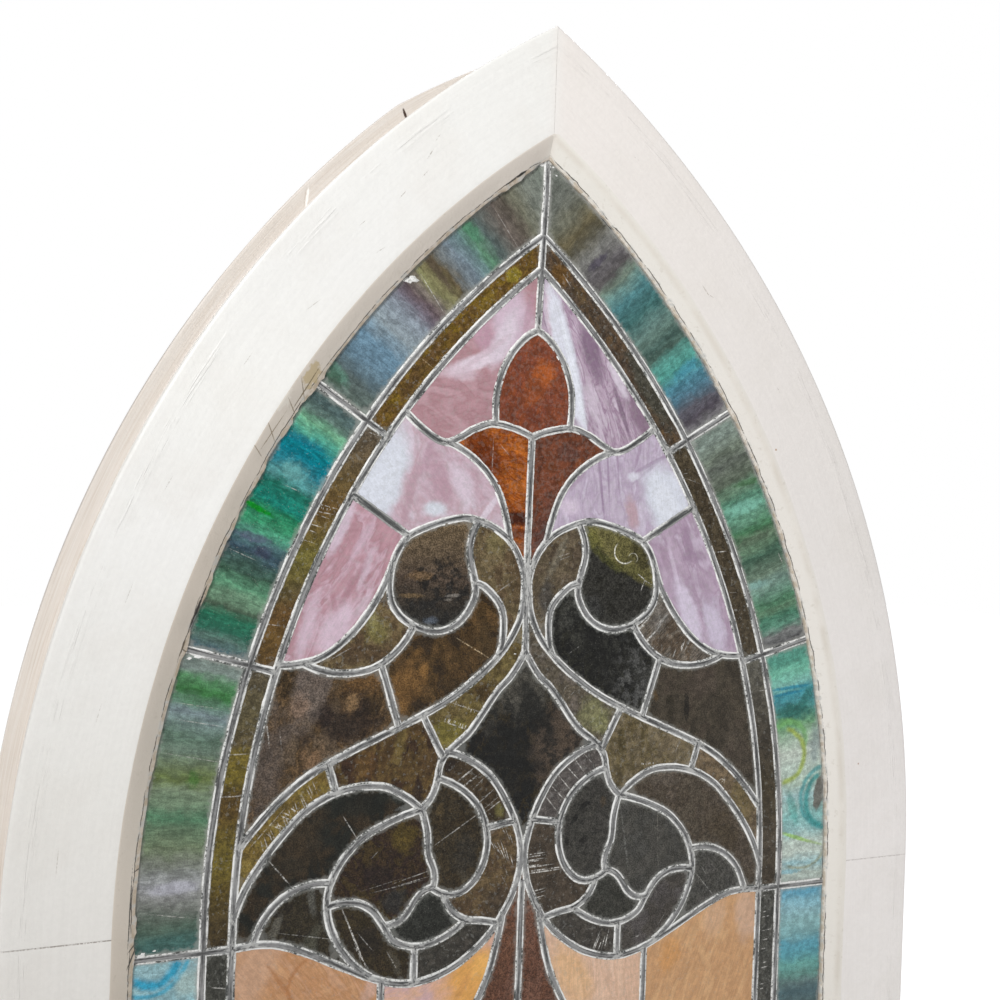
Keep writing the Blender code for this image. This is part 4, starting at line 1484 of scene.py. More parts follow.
        blot((217, 196, 211), 148, 196, 10, 20, 148, 0.8, 0.42),
        blot((213, 192, 207), 168, 196, 5, 22, 165, 0.7, 0.42),
        blot((217, 200, 213), 128, 214, 3, 10, 150, 0.6, 0.3), streaks(0.05, 1.4, 14, angle=150)],
    "petal_right": [
        clouds((189, 169, 188), (173, 151, 171), (199, 183, 201), size=12, stretch=2.4, angle=155,
               bend=0.7, detail=3),
        blot((161, 137, 159), 132, 262, 4, 14, 165, 0.8, 0.42),
        blot((159, 136, 158), 138, 250, 9, 5, 0, 0.7, 0.48),
        blot((167, 143, 163), 112, 250, 3, 12, 160, 0.6, 0.36),
        blot((205, 189, 207), 122, 238, 1.8, 22, 163, 0.8, 0.3),
        blot((221, 211, 229), 136, 206, 7, 26, 155, 0.8, 0.42),
        blot((211, 201, 220), 160, 196, 8, 24, 160, 0.8, 0.42),
        blot((173, 151, 171), 152, 222, 4, 12, 160, 0.7, 0.42), streaks(0.06, 1.0, 14, angle=158)],
    "bud": [
        clouds((112, 66, 52), (128, 74, 54), (119, 70, 57), (132, 74, 50), size=9, stretch=1.8,
               angle=10, detail=6),
        blot((172, 94, 50), 3, 386, 9, 9, 30, 0.7, 0.8, 1.0),
        blot((150, 84, 50), -4, 372, 8, 14, 20, 0.5, 0.8, 1.0), streaks(0.13, 1.3, 5, angle=8)],
    "fleur_left": [
        clouds((141, 76, 38), (169, 97, 46), (127, 66, 36), (151, 88, 46), size=8, stretch=2.4,
               angle=78, bend=1.6),
        blot((103, 54, 36), 42, 320, 11, 24, 20, 0.9, 0.7),
        blot((187, 108, 50), 16, 328, 5, 5, 0, 0.7, 0.8),
        blot((179, 106, 52), 14, 300, 8, 4, 0, 0.7, 0.8),
        blot((71, 44, 38), 18, 276, 16, 5, 0, 0.95, 0.6),
        blot((103, 58, 40), 12, 264, 8, 4, 0, 0.8, 0.7),
        blot((133, 84, 54), 11, 255, 8, 5, 0, 0.8, 0.7), streaks(0.12, 1.2, 5, angle=80),
        scratch(35.6, 300, 35.4, 333, 0.4, 0.45), scratch(22, 322, 30, 330, 0.4, 0.35)],
    "fleur_right": [
        clouds((106, 65, 48), (122, 75, 58), (96, 63, 52), (114, 69, 52), size=10, stretch=1.6,
               angle=40, detail=6),
        blot((140, 85, 58), 36, 318, 4, 4, 0, 0.7, 0.8),
        blot((92, 69, 64), 26, 326, 8, 6, 0, 0.6, 0.8),
        blot((86, 67, 64), 14, 262, 12, 22, 0, 0.9, 0.7), streaks(0.15, 1.2, 4, angle=20)],
    "disc_left": [
        zones((196, (40, 40, 40)), (208, (48, 45, 42)), (220, (64, 56, 49)), (232, (82, 70, 61)),
              (244, (92, 79, 65)), (270, (104, 89, 69)), run="up"),
        mottle((39, 38, 38), 74, 216, 26, size=7),
        mottle((46, 43, 41), 66, 228, 18, size=4, share=0.7),
        blot((118, 95, 69), 88, 233, 9, 3, 0, 0.6),
        blot((122, 101, 73), 94, 219, 8, 1.6, 0, 0.6, 0.7),
        blot((84, 91, 101), 79, 201, 5, 2.6, 0, 0.8, 0.7),
        blot((118, 113, 107), 62, 219, 5, 1.2, 5, 0.8, 0.5),
        blot((110, 105, 99), 66, 216, 3, 1.0, 0, 0.7, 0.5), streaks(0.2, 1.4, 1.6, angle=0)],
    "disc_right": [
        clouds((46, 45, 43), (54, 53, 50), (42, 41, 38), size=9, detail=6),
        blot((102, 97, 62), 80, 254, 15, 42, 124, 1.0, 0.25, 0.3),
        blot((116, 114, 62), 47, 263, 6, 11, 130, 0.6, 0.6),
        blot((66, 62, 42), 92, 250, 9, 12, 120, 0.8), blot((78, 76, 46), 84, 238, 4, 12, 118, 0.6),
        blot((84, 84, 44), 62, 246, 3, 16, 124, 0.6, 0.7),
        blot((60, 60, 60), 50, 210, 8, 8, 0, 0.6, 0.8), streaks(0.16, 1.3, 1.6, angle=0),
        hoop((218, 216, 204), 77, 253, 9, 0.9, 225, 0.1, 0.85),
        hoop((205, 203, 190), 84, 248, 4, 0.7, 30, -0.2, 0.5),
        scratch(89, 236, 96, 231, 0.5, 0.85), scratch(101, 228, 95, 231, 0.5, 0.8),
        scratch(95, 231, 92, 223, 0.5, 0.8)],
    "crescent_left": dark_pane((100, 87, 64), (112, 99, 74), (92, 77, 58)) + [
        scratch(14, 231, 32, 219, 0.5), blot((120, 111, 76), 30, 258, 8, 8, 0, 0.6, 0.7),
        blot((86, 73, 54), 16, 222, 6, 14, 0, 0.6, 0.7)],
    "crescent_right": dark_pane((93, 82, 68), (103, 92, 74), (83, 72, 60), angle=30) + [
        blot((127, 122, 108), 20, 248, 3, 16, 25, 0.5, 0.6),
        blot((73, 70, 66), 12, 216, 6, 14, 0, 0.8, 0.7), scratch(20, 248, 29, 251),
        scratch(22, 246, 30, 249, 0.4, 0.4)],
    "leaf_left": dark_pane((98, 82, 58), (112, 98, 70), (86, 70, 52)) + [
        blot((140, 134, 92), 123, 203, 5, 9, 20, 0.8, 0.8),
        blot((122, 116, 68), 118, 193, 8, 8, 0, 0.6, 0.8),
        blot((76, 60, 44), 132, 178, 22, 7, 0, 0.8, 0.8), scratch(137, 182, 150, 175, 0.5, 0.6),
        scratch(122, 212, 126, 204, 0.7)],
    "leaf_right": dark_pane((98, 90, 82), (110, 102, 92), (88, 76, 64), angle=48) + [
        streaks(0.5, 0.8, 18, angle=45), comb(108, 214, 96, 196, -11, -11, 9, 0.7, 0.9),
        comb(118, 206, 102, 186, -9, -9, 9, 0.6, 0.8),
        comb(142, 190, 126, 178, -5, -10, 5, 0.5, 0.7),
        blot((112, 108, 104), 112, 204, 7, 12, 40, 0.6, 0.7)],
    "body_left": dark_pane((52, 41, 25), (78, 59, 36), (62, 48, 29), (88, 67, 42), size=14) + [
        blot((124, 91, 52), 94, 156, 10, 17, 150, 0.7, 1.0),
        blot((138, 101, 56), 82, 166, 3, 5, 0, 0.5), blot((54, 43, 28), 60, 150, 9, 9, 0, 0.6),
        blot((66, 53, 36), 36, 186, 7, 16, 0, 0.6, 0.8),
        scratch(32, 173, 58, 188, 0.55, 0.85, (192, 171, 138))],
    "body_right": dark_pane((24, 24, 19), (42, 41, 36), (30, 29, 24), size=8) + [
        blot((68, 68, 64), 32, 206, 7, 16, 20, 0.7, 1.0),
        blot((60, 60, 56), 40, 186, 8, 9, 0, 0.6, 1.0),
        blot((60, 60, 58), 98, 154, 8, 22, 150, 0.7, 1.0),
        blot((10, 10, 6), 64, 178, 18, 26, 130, 0.85),
        mottle((88, 88, 87), 98, 158, 26, size=6, share=0.75),
        mottle((76, 76, 75), 84, 144, 17, size=5, share=0.75),
        mottle((58, 58, 54), 72, 174, 20, size=4, share=0.5),
        mottle((18, 18, 14), 32, 200, 24, size=5, share=0.7), scratch(33, 176, 41, 181)],
    "field_left": dark_pane((59, 46, 30), (99, 78, 54), (71, 56, 38), (93, 78, 62), size=15,
                            stretch=1.6, angle=165) + [
        blot((104, 94, 88), 162, 158, 12, 26, 165, 0.8),
        blot((88, 79, 74), 192, 104, 12, 34, 168, 0.7),
        blot((104, 76, 44), 126, 158, 13, 10, 0, 0.7),
        blot((42, 33, 20), 134, 132, 20, 17, 0, 0.85), blot((38, 30, 20), 154, 136, 8, 7, 0, 0.7),
        blot((128, 102, 72), 134, 144, 5, 7, 175, 0.8, 1.0),
        blot((130, 108, 92), 171, 142, 7, 8, 0, 0.7),
        blot((124, 98, 74), 160, 106, 9, 7, 40, 0.7, 1.0),
        blot((56, 47, 42), 167, 120, 5, 6, 0, 0.6, 1.0), scratch(194, 137, 191, 117, 0.6, 0.6),
        scratch(184, 126, 182, 110, 0.4, 0.3)],
    "field_right": dark_pane((62, 56, 48), (73, 66, 56), (68, 60, 52), size=16) + [
        blot((36, 33, 26), 137, 132, 2.4, 11, 176, 0.9, 0.7, 0.5),
        blot((44, 40, 32), 122, 138, 3.5, 4, 0, 0.8), blot((48, 43, 35), 122, 126, 3, 4, 0, 0.7),
        blot((84, 74, 66), 152, 150, 12, 12, 0, 0.5),
        blot((90, 72, 48), 108, 142, 2, 5, 160, 0.6, 0.8),
        blot((78, 70, 62), 186, 96, 9, 22, 160, 0.4)],
    "band_upper_left": dark_pane((98, 85, 53), (86, 73, 45), (108, 95, 59)) + [
        blot((66, 50, 17), 36, 148, 8, 6, 150, 0.8, 0.8),
        blot((120, 111, 55), 62, 120, 14, 9, 0, 0.8, 0.8),
        blot((88, 75, 37), 44, 134, 6, 6, 0, 0.6, 0.8), scratch(38, 134, 59, 141, 0.5, 0.7),
        scratch(49, 122, 65, 128, 0.7, 0.8), comb(49, 125, 64, 131, 1.4, -3, 9, 0.4, 0.6),
        comb(39, 135, 56, 142, 1, -3, 7, 0.35, 0.5)],
    "band_upper_right": dark_pane((99, 91, 83), (83, 76, 65), (93, 85, 73)) + [
        blot((119, 117, 85), 56, 128, 14, 12, 20, 0.9, 0.8),
        blot((129, 129, 89), 60, 122, 7, 7, 0, 0.6), scratch(28, 146, 31, 151, 0.4, 0.6),
        scratch(33, 142, 38, 147)],
    "band_middle_left": dark_pane((76, 58, 36), (92, 74, 44), (56, 40, 22), size=10, stretch=2.2,
                                  angle=172) + [
        blot((112, 96, 56), 98, 112, 4, 14, 170, 0.7, 1.0),
        blot((106, 78, 44), 122, 100, 8, 10, 0, 0.5),
        blot((38, 26, 10), 84, 74, 4, 12, 175, 0.8, 0.8),
        blot((72, 56, 38), 78, 100, 5, 12, 175, 0.5)],
    "band_middle_right": dark_pane((112, 101, 80), (98, 87, 60), (104, 93, 72), size=12,
                                   stretch=2.4, angle=175) + [
        blot((72, 63, 40), 80, 106, 3, 12, 175, 0.8, 0.8),
        blot((80, 69, 44), 88, 118, 5, 4, 0, 0.6, 0.8),
        blot((90, 79, 50), 98, 112, 1.5, 10, 178, 0.7, 0.7),
        blot((122, 109, 88), 124, 102, 12, 8, 0, 0.6),
        blot((72, 63, 44), 78, 78, 4, 9, 175, 0.7, 0.8),
        comb(98, 88, 108, 88, 0, 1.4, 6, 0.6, 0.7), scratch(128, 96, 131, 103)],
    "band_lower_left": dark_pane((113, 94, 47), (103, 86, 45), (121, 104, 53), size=9) + [
        streaks(0.18, 0.6, 12, angle=155), comb(160, 90, 194, 52, -4, -10, 16, 0.4, 0.5),
        comb(176, 74, 190, 58, -8, -5, 6, 0.45, 0.6), scratch(180, 72, 200, 50, 0.5, 0.6)],
    "band_lower_right": dark_pane((110, 94, 74), (120, 104, 82), (102, 88, 70)) + [
        blot((110, 98, 64), 192, 54, 8, 16, 150, 0.6, 0.8),
        hoop((214, 210, 200), 172, 70, 2.6, 0.6, 10, 0.0, 0.8),
        scratch(172, 70, 176, 73, 0.4, 0.7)],
    "scroll_field_left": dark_pane((32, 33, 29), (44, 38, 30), (54, 44, 33), size=12) + [
        blot((32, 34, 31), 130, 74, 22, 10, 0, 0.8, 0.8),
        blot((62, 70, 68), 98, 76, 6, 4, 0, 0.5, 0.8),
        blot((60, 50, 38), 168, 48, 14, 24, 150, 0.6), scratch(128, 50, 137, 64, 0.5, 0.7),
        scratch(172, 19, 188, 38, 0.6, 0.8), blot((96, 98, 96), 96, 68, 4, 1.2, 20, 0.6, 0.5)],
    "scroll_field_right": dark_pane((80, 72, 62), (74, 65, 55), (84, 75, 66), size=15) + [
        blot((70, 60, 46), 176, 34, 10, 22, 150, 0.6),
        blot((92, 84, 76), 120, 76, 14, 5, 10, 0.5, 0.8)],
    "scroll_heart_left": dark_pane((62, 50, 29), (44, 32, 17), (56, 43, 27), size=10) + [
        blot((88, 74, 33), 92, 48, 9, 10, 0, 0.7), blot((46, 48, 49), 98, 2, 9, 9, 0, 0.7, 0.8),
        blot((38, 26, 12), 112, 20, 10, 10, 0, 0.7), scratch(74, 21, 98, 15, 0.4, 0.6),
        scratch(74, 17, 100, 12), scratch(78, 15, 112, 10), scratch(96, 17, 120, 12, 0.3, 0.4),
        scratch(112, 38, 116, 34, 0.4, 0.4)],
    "scroll_heart_right": dark_pane((72, 71, 68), (66, 65, 61), (76, 74, 70), size=14) + [
        scratch(114, 52, 115, 22, 0.6, 0.5, (130, 126, 118)),
        scratch(115, 20, 117, 6, 0.5, 0.35, (130, 126, 118)),
        scratch(82, 52, 90, 6, 1.2, 0.25, (150, 150, 146))],
    "scroll_tip_left": dark_pane((45, 40, 30), (53, 47, 36), (41, 36, 25), size=8) + [
        blot((97, 97, 91), 158, 10, 12, 2.6, 100, 0.6, 0.6),
        blot((105, 103, 95), 182, -8, 3, 9, 160, 0.5, 0.6),
        blot((79, 79, 69), 158, -22, 14, 5, 70, 0.6, 0.7), scratch(142, -20, 178, -12, 0.4, 0.4)],
    "scroll_tip_right": dark_pane((74, 73, 70), (68, 67, 63), (78, 76, 73), size=14) + [
        scratch(152, -2, 168, -20, 0.5, 0.35), scratch(156, 4, 160, -2, 0.4, 0.3)],
    "scroll_foot_left": dark_pane((59, 50, 34), (47, 39, 22), (53, 45, 28), size=9) + [
        blot((37, 33, 15), 118, -26, 9, 12, 20, 0.7), blot((99, 95, 84), 96, -42, 3, 8, 25, 0.4),
        scratch(118, -41, 136, 0, 0.7, 0.85), scratch(122, -36, 132, -8, 0.4, 0.6),
        scratch(116, -43, 126, -28, 0.5, 0.6), scratch(95, -46, 102, -34, 0.5),
        scratch(114, -30, 124, -18)],
    "scroll_foot_right": dark_pane((80, 76, 75), (74, 70, 66), (70, 66, 62), size=13) + [
        blot((64, 60, 56), 124, -24, 9, 14, 20, 0.5), scratch(97, -46, 101, -45, 0.7, 0.8),
        scratch(118, -38, 124, -30, 0.4, 0.3)],
    "teardrop_left": dark_pane((54, 45, 32), (50, 44, 35), (60, 51, 37), size=9) + [
        blot((84, 77, 63), 46, 14, 3, 8, 30, 0.6), blot((90, 75, 49), 66, 64, 3, 5, 0, 0.5, 0.8),
        blot((46, 45, 43), 46, 30, 8, 14, 0, 0.5), scratch(36, 60, 70, 39, 0.5, 0.55)],
    "teardrop_right": dark_pane((62, 60, 57), (56, 55, 52), (66, 64, 60), size=9) + [
        blot((26, 26, 25), 42, 50, 2, 5, 40, 0.9, 0.9, 0.5),
        blot((28, 28, 27), 50, 60, 2, 6, 70, 0.8, 0.9, 0.5),
        blot((34, 33, 32), 50, 34, 2.4, 4, 60, 0.8, 0.9, 0.5),
        blot((32, 31, 30), 36, 34, 2, 3, 0, 0.8, 0.9, 0.5),
        blot((78, 62, 40), 66, 62, 2.4, 4, 0, 0.4, 0.8)],
    "diamond": dark_pane((15, 13, 4), (32, 27, 14), (50, 43, 30), (22, 18, 6), size=11) + [
        blot((84, 81, 74), -6, 148, 24, 20, 0, 0.8), blot((82, 70, 60), 24, 108, 17, 26, 20, 0.8),
        blot((14, 13, 8), 6, 132, 8, 26, 150, 0.85, 1.0),
        blot((20, 18, 8), -14, 96, 20, 26, 0, 0.7),
        mottle((15, 14, 8), 0, 118, 48, size=8, share=0.75),
        blot((68, 65, 59), -30, 124, 5, 9, 30, 0.4)],
    "lower_inner_left": [
        clouds((222, 179, 153), (216, 177, 165), (210, 175, 177), size=14, stretch=2, angle=110,
               bend=1.5),
        blot((224, 167, 97), 38, -62, 20, 26, 150, 1.0, 0.42),
        blot((236, 181, 105), 30, -52, 7, 10, 150, 0.8, 0.48),
        blot((206, 151, 93), 44, -66, 2.5, 12, 150, 0.7, 0.42), streaks(0.06, 1.6, 12, angle=130)],
    "lower_inner_right": [
        clouds((226, 192, 167), (216, 180, 155), (230, 198, 175), size=12, stretch=3, angle=175),
        blot((226, 180, 121), 44, -66, 12, 24, 150, 0.5, 0.48), streaks(0.08, 1.4, 16, angle=176)],
    "lower_outer_left": [
        clouds((202, 158, 125), (190, 142, 103), (206, 160, 121), size=9, stretch=4, angle=38,
               bend=1.2),
        blot((202, 164, 137), 196, -34, 14, 24, 160, 0.8, 0.48),
        hoop((176, 122, 81), 150, -52, 22, 2.4, 60, 0.3, 0.6),
        blot((178, 124, 83), 176, -48, 1.5, 18, 35, 0.6, 0.36),
        blot((210, 176, 163), 112, -56, 12, 5, 60, 0.6, 0.48), streaks(0.08, 1.3, 18, angle=40)],
    "lower_outer_right": [
        clouds((211, 169, 127), (197, 153, 113), (207, 163, 121), size=9, stretch=4, angle=20,
               bend=0.8),
        blot((207, 173, 149), 200, -36, 10, 24, 175, 0.8, 0.48),
        blot((205, 149, 91), 130, -62, 9, 14, 20, 0.6, 0.48),
        blot((215, 181, 153), 170, -38, 10, 14, 20, 0.5, 0.48), streaks(0.08, 1.3, 20, angle=20)],
    "stalk_left": dark_pane((80, 56, 47), (74, 52, 43), (86, 60, 50), size=12, stretch=3, angle=0),
    "stalk_right": dark_pane((100, 68, 52), (92, 60, 46), (106, 74, 60), size=12, stretch=3,
                             angle=0),
    "strip_top_left": [
        clouds((104, 82, 36), (94, 72, 42), (112, 90, 34), size=7, stretch=1.6, angle=142),
        blot((138, 124, 48), 24, 455, 5, 7, 140, 0.8, 0.7, 0.6),
        blot((126, 106, 44), 44, 434, 4, 9, 142, 0.5, 0.8, 0.8),
        blot((86, 66, 44), 92, 380, 4, 26, 148, 0.7, 0.7), streaks(0.14, 1.2, 3, angle=142),
        scratch(84, 382, 93, 388, 0.5, 0.8, (176, 156, 122))],
    "strip_top_right": [
        clouds((85, 68, 52), (73, 64, 56), (91, 72, 52), size=7, stretch=1.8, angle=142),
        blot((105, 78, 44), 14, 459, 6, 9, 140, 0.9, 0.7),
        blot((71, 70, 62), 92, 380, 7, 34, 148, 0.9, 0.6),
        blot((97, 80, 56), 30, 446, 3, 9, 142, 0.6, 0.8), streaks(0.14, 1.2, 3, angle=142),
        scratch(16, 460, 22, 452, 0.5)],
    "strip_upper_left": [
        zones((178, (91, 70, 39)), (192, (99, 76, 41)), (206, (93, 70, 41)), (222, (89, 78, 51)),
              (232, (103, 94, 53)), (248, (111, 104, 55)), (262, (105, 90, 53)),
              (278, (99, 78, 47)), (296, (103, 86, 55)), (318, (97, 84, 65)), (335, (85, 76, 65)),
              run="up"),
        streaks(0.14, 1.3, 3, angle=160), scratch(151, 279, 164, 282, 0.45, 0.8),
        scratch(153, 275, 166, 277, 0.45, 0.7), scratch(156, 272, 169, 276, 0.4, 0.6),
        scratch(161, 266, 172, 269, 0.45, 0.7), scratch(164, 262, 170, 264, 0.4, 0.6),
        scratch(166, 255, 176, 258, 0.4, 0.6), scratch(122, 331, 129, 333, 0.5, 0.7),
        scratch(186, 198, 200, 200, 0.4, 0.4), comb(155, 279, 166, 281, 0, -2, 6, 0.3, 0.5)],
    "strip_upper_right": [
        clouds((76, 67, 54), (68, 60, 48), (82, 73, 58), size=11, stretch=2, angle=160),
        streaks(0.14, 1.3, 3, angle=160), scratch(159, 254, 168, 255, 0.5, 0.8),
        scratch(126, 315, 131, 316), scratch(172, 222, 180, 222, 0.4, 0.4),
        scratch(178, 208, 184, 208), scratch(128, 312, 142, 308, 0.3, 0.3)],
    "strip_middle_left": [
        zones((-18, (60, 50, 34)), (2, (74, 62, 38)), (20, (88, 74, 34)), (38, (104, 92, 40)),
              (56, (96, 84, 38)), (72, (86, 68, 34)), (84, (78, 62, 34)), (96, (104, 92, 38)),
              (112, (112, 98, 44)), (118, (84, 74, 52)), (140, (92, 84, 60)), (170, (80, 72, 58)),
              run="up"),
        streaks(0.16, 1.3, 3, angle=175), scratch(206, 112, 218, 112, 0.5, 0.6),
        scratch(208, 84, 222, 84, 0.5, 0.7), scratch(212, 41, 222, 41, 0.3, 0.3)],
    "strip_middle_right": [
        zones((-18, (66, 58, 48)), (20, (76, 68, 58)), (60, (70, 62, 48)), (100, (66, 60, 52)),
              (130, (80, 76, 68)), (170, (94, 92, 84)), run="up"),
        streaks(0.14, 1.3, 3, angle=175), scratch(204, 142, 214, 143, 0.4, 0.4)],
    "strip_lower_left": [
        clouds((58, 58, 54), (68, 68, 63), (52, 52, 48), size=9, stretch=2, angle=0),
        streaks(0.14, 1.3, 3, angle=0), scratch(213, -45, 223, -43, 0.5, 0.7),
        scratch(213, -72, 222, -70, 0.4, 0.4)],
    "strip_lower_right": [
        clouds((74, 74, 69), (66, 66, 62), (80, 79, 74), size=9, stretch=2, angle=0),
        streaks(0.14, 1.3, 3, angle=0), comb(216, -28, 216, -112, 7, 0.6, 11, 0.5, 0.6),
        comb(216, -118, 216, -290, 6, 0.5, 9, 0.4, 0.4)],
    "strip_foot_left": dark_pane((72, 62, 42), (84, 72, 46), (64, 54, 38), angle=90),
    "strip_foot_right": dark_pane((70, 62, 48), (80, 70, 52), (62, 54, 42), angle=90),
    "eye_left": dark_pane((44, 45, 42), (40, 41, 38), (50, 51, 48), size=14) + [
        blot((92, 83, 70), 54, -22, 6, 2, 30, 0.5, 0.6)],
    "eye_right": dark_pane((56, 56, 52), (60, 59, 55), (52, 52, 47), size=14),
    "ring_upper_left": dark_pane((64, 53, 40), (72, 60, 45), (58, 47, 35), size=8, angle=40) + [
        blot((104, 98, 58), 20, 61, 4, 5, 0, 0.8, 0.8),
        blot((36, 30, 24), 60, 96, 5, 4, 0, 0.8, 0.8), scratch(38, 88, 50, 80, 0.8, 0.9),
        scratch(42, 93, 54, 84, 0.7, 0.8), scratch(34, 85, 41, 78, 0.5, 0.6),
        scratch(26, 76, 36, 68, 0.6, 0.6), scratch(18, 69, 30, 61, 0.5, 0.6),
        scratch(20, 72, 32, 63, 0.3, 0.4)],
    "ring_upper_right": dark_pane((88, 83, 81), (82, 77, 74), (92, 87, 85), size=9, angle=40) + [
        scratch(40, 96, 48, 86, 0.5, 0.7), scratch(34, 90, 44, 80, 0.5, 0.8),
        scratch(28, 83, 38, 72, 0.5, 0.7), scratch(22, 76, 32, 66, 0.5, 0.8),
        scratch(17, 69, 27, 57, 0.5, 0.7), scratch(48, 99, 55, 92, 0.4, 0.6)],
    "ring_side_left": dark_pane((90, 74, 52), (98, 82, 58), (82, 66, 48), size=8, angle=30) + [
        blot((66, 56, 46), 18, -10, 12, 14, 0, 0.8, 0.8), comb(8, 20, 24, 34, 6, 12, 8, 0.4, 0.6),
        comb(5, 32, 14, 42, 4, 7, 4, 0.4, 0.5), scratch(11, 12, 15, 20),
        scratch(12, 5, 16, 12, 0.4, 0.4)],
    "ring_side_right": dark_pane((73, 64, 55), (67, 58, 49), (77, 67, 57), size=10) + [
        comb(3, 26, 4, 12, 21, 1, 8, 0.5, 0.7), comb(6, -2, 9, -12, 16, 2, 5, 0.45, 0.6)],
    "ring_lower_left": dark_pane((62, 59, 54), (56, 54, 50), (66, 62, 57), size=9),
    "ring_lower_right": dark_pane((68, 64, 60), (74, 70, 64), (62, 58, 54), size=9) + [
        comb(60, -52, 72, -50, 4, 12, 5, 0.45, 0.7)],
}


# ---------------------------------------------------------------- finished materials

# How much grain, patches and dust specks the glass of each slot shows, how far the dust along
# the leads reaches and how thick it lies.
TEXTURE = {
    "pink_glass": (0.04, 0.04, 0.15, 2.5, 0.15), "peach_glass": (0.06, 0.06, 0.2, 3, 0.15),
    "border_glass": (0.15, 0.15, 0.28, 6.5, 0.5), "rust_glass": (0.20, 0.18, 0.06, 2.4, 0.10),
    "amber_glass": (0.28, 0.26, 0.10, 3.0, 0.2), "dark_glass": (0.46, 0.20, 0.18, 5.5, 0.34),
}
GLASS_ROUGHNESS = 0.14
GLASS_GLOSS = 0.2            # specular level
PAINTED_REFLECTION = (0.0095, 0.0095, 0.0085, 1)       # painted reflection: what dark glass adds of the light around it
SPECK = (176, 174, 166)
DUST = (164, 165, 160)
LEAD_SCUFF = (204, 204, 201)
LEAD_SCRAPE = (206, 206, 203)
# Where many leads meet they are scraped pale: place, reach across and along, and direction.
SCRAPED = [(-3, 240, 4, 34, 0), (-2, 60, 4, 26, 0), (0, 545, 3, 9, 0), (-6, 128, 5, 8, 30)]
# The darkest leads of both halves: place, half length and direction.
DARK_LEADS = [(119, 276, 24, 56), (86, 331, 16, 72)]


def glass_material(name, layers, number, side, slot):
    """Opalescent glass with its layers of colour, dusty towards the leads, and a painted
    reflection on dark and amber glass.
    """
    paint = Paint(name, GLASS_ROUGHNESS, side, STUDIO_SHEEN)
    colour = None
    for layer in layers:
        colour = layer(paint, colour, number * 5.3)
    grain, patchy, specks, reach_most, dusty = TEXTURE[slot]
    fine = paint.specks(0.95, number + 7, 3)
    broad = paint.specks(4.5, number + 9, 7)
    # Painted reflection: dark and amber glass get a little of the surrounding light added to their
    # colour.
    if slot in ("dark_glass", "amber_glass"):
        colour = paint.mix(1.0, colour, PAINTED_REFLECTION, "ADD")
    colour = paint.shaded(colour, paint.times(
        paint.spread(fine, 0.35, 0.65, 1 - grain, 1 + grain),
        paint.spread(broad, 0.40, 0.60, 1 - patchy, 1 + patchy)))
    dots = paint.spread(paint.specks(0.8, number + 3, 0), 0.77, 0.84)
    colour = paint.tinted(colour, paint.times(dots, specks), SPECK)
    reach = paint.spread(paint.specks(3, number), 0.3, 0.75, reach_most * 0.4, reach_most)
    near = paint.spread(paint.mark()[1]["X"], reach, 1.4)
    colour = paint.tinted(colour, paint.times(near, dusty), DUST)
    wave = paint.specks(9, number + 9, 2)
    paint.relief(paint.plus(paint.times(fine, 0.2), wave), 0.10)
    paint.put(paint.shader.inputs["Specular IOR Level"], GLASS_GLOSS)
    return paint.finish(colour)


def darkened(paint, colour, tint, across, length_share, share, ragged, soft):
    """The colour with the leads that are darkest on both sides of the window."""
    for side in (-1, 1):
        for x, z, along, angle in DARK_LEADS:
            dark = blot(tint, side * x, z, across, along * length_share, side * angle, share,
                        ragged, soft)
            colour = dark(paint, colour, 3)
    return colour


def lead_material():
    """Grey came with light and dark streaks along it, scuffed at the joints, with a painted
    highlight on its shoulders and painted shade along its edges.
    """
    paint = Paint("oxidised_lead", 0.48, sheen=LEAD_SHEEN)
    vector, mark = paint.mark()
    flat = paint.mapped(vector, (1, 1, 0))
    long = paint.strands(flat, (0.03, 0.75, 1), 1)
    short = paint.specks(2.6, 2, 7)
    off = paint.swayed(paint.math("ABSOLUTE", mark["Y"]), short, 1.4)
    # Painted highlight and shade across the came: lighter on its shoulders, darkest along its
    # edges where it dips to the glass.
    colour = paint.ramp(paint.math("DIVIDE", off, LEAD_HALF_WIDTH), [
        (0.0, (114, 114, 114)), (0.4, (120, 120, 120)), (0.62, (166, 167, 166)),
        (0.76, (146, 147, 146)), (0.9, (86, 87, 86)), (1.0, (62, 63, 62))])
    value = paint.plus(paint.times(long, 0.82), paint.times(short, 0.18))
    colour = paint.shaded(colour, paint.spread(value, 0.40, 0.60, 0.35, 1.7))
    colour = darkened(paint, colour, (74, 76, 75), 3.6, 1, 0.85, 0.3, 0.4)
    scuffs = paint.strands(flat, (0.25, 0.9, 1), 6, 5)
    joint = paint.spread(mark["Z"], 11, 2)
    rim = paint.spread(off, 1.5, 2.2)
    worn = paint.times(paint.spread(scuffs, 0.46, 0.58), paint.plus(
        paint.times(joint, 0.6), paint.plus(paint.times(rim, 0.35), 0.10)))
    colour = paint.tinted(colour, worn, LEAD_SCUFF)
    for x, z, across, along, angle in SCRAPED:
        near = blot_share(paint, 5, x, z, across, along, angle, 0.9, 0.9)
        pale = paint.times(near, paint.spread(scuffs, 0.42, 0.54, 0.1, 0.75))
        colour = paint.tinted(colour, pale, LEAD_SCRAPE)
    chips = paint.specks(1.1, 8)
    paint.relief(paint.plus(long, paint.times(chips, 0.5)), 0.14)
    return paint.finish(colour)


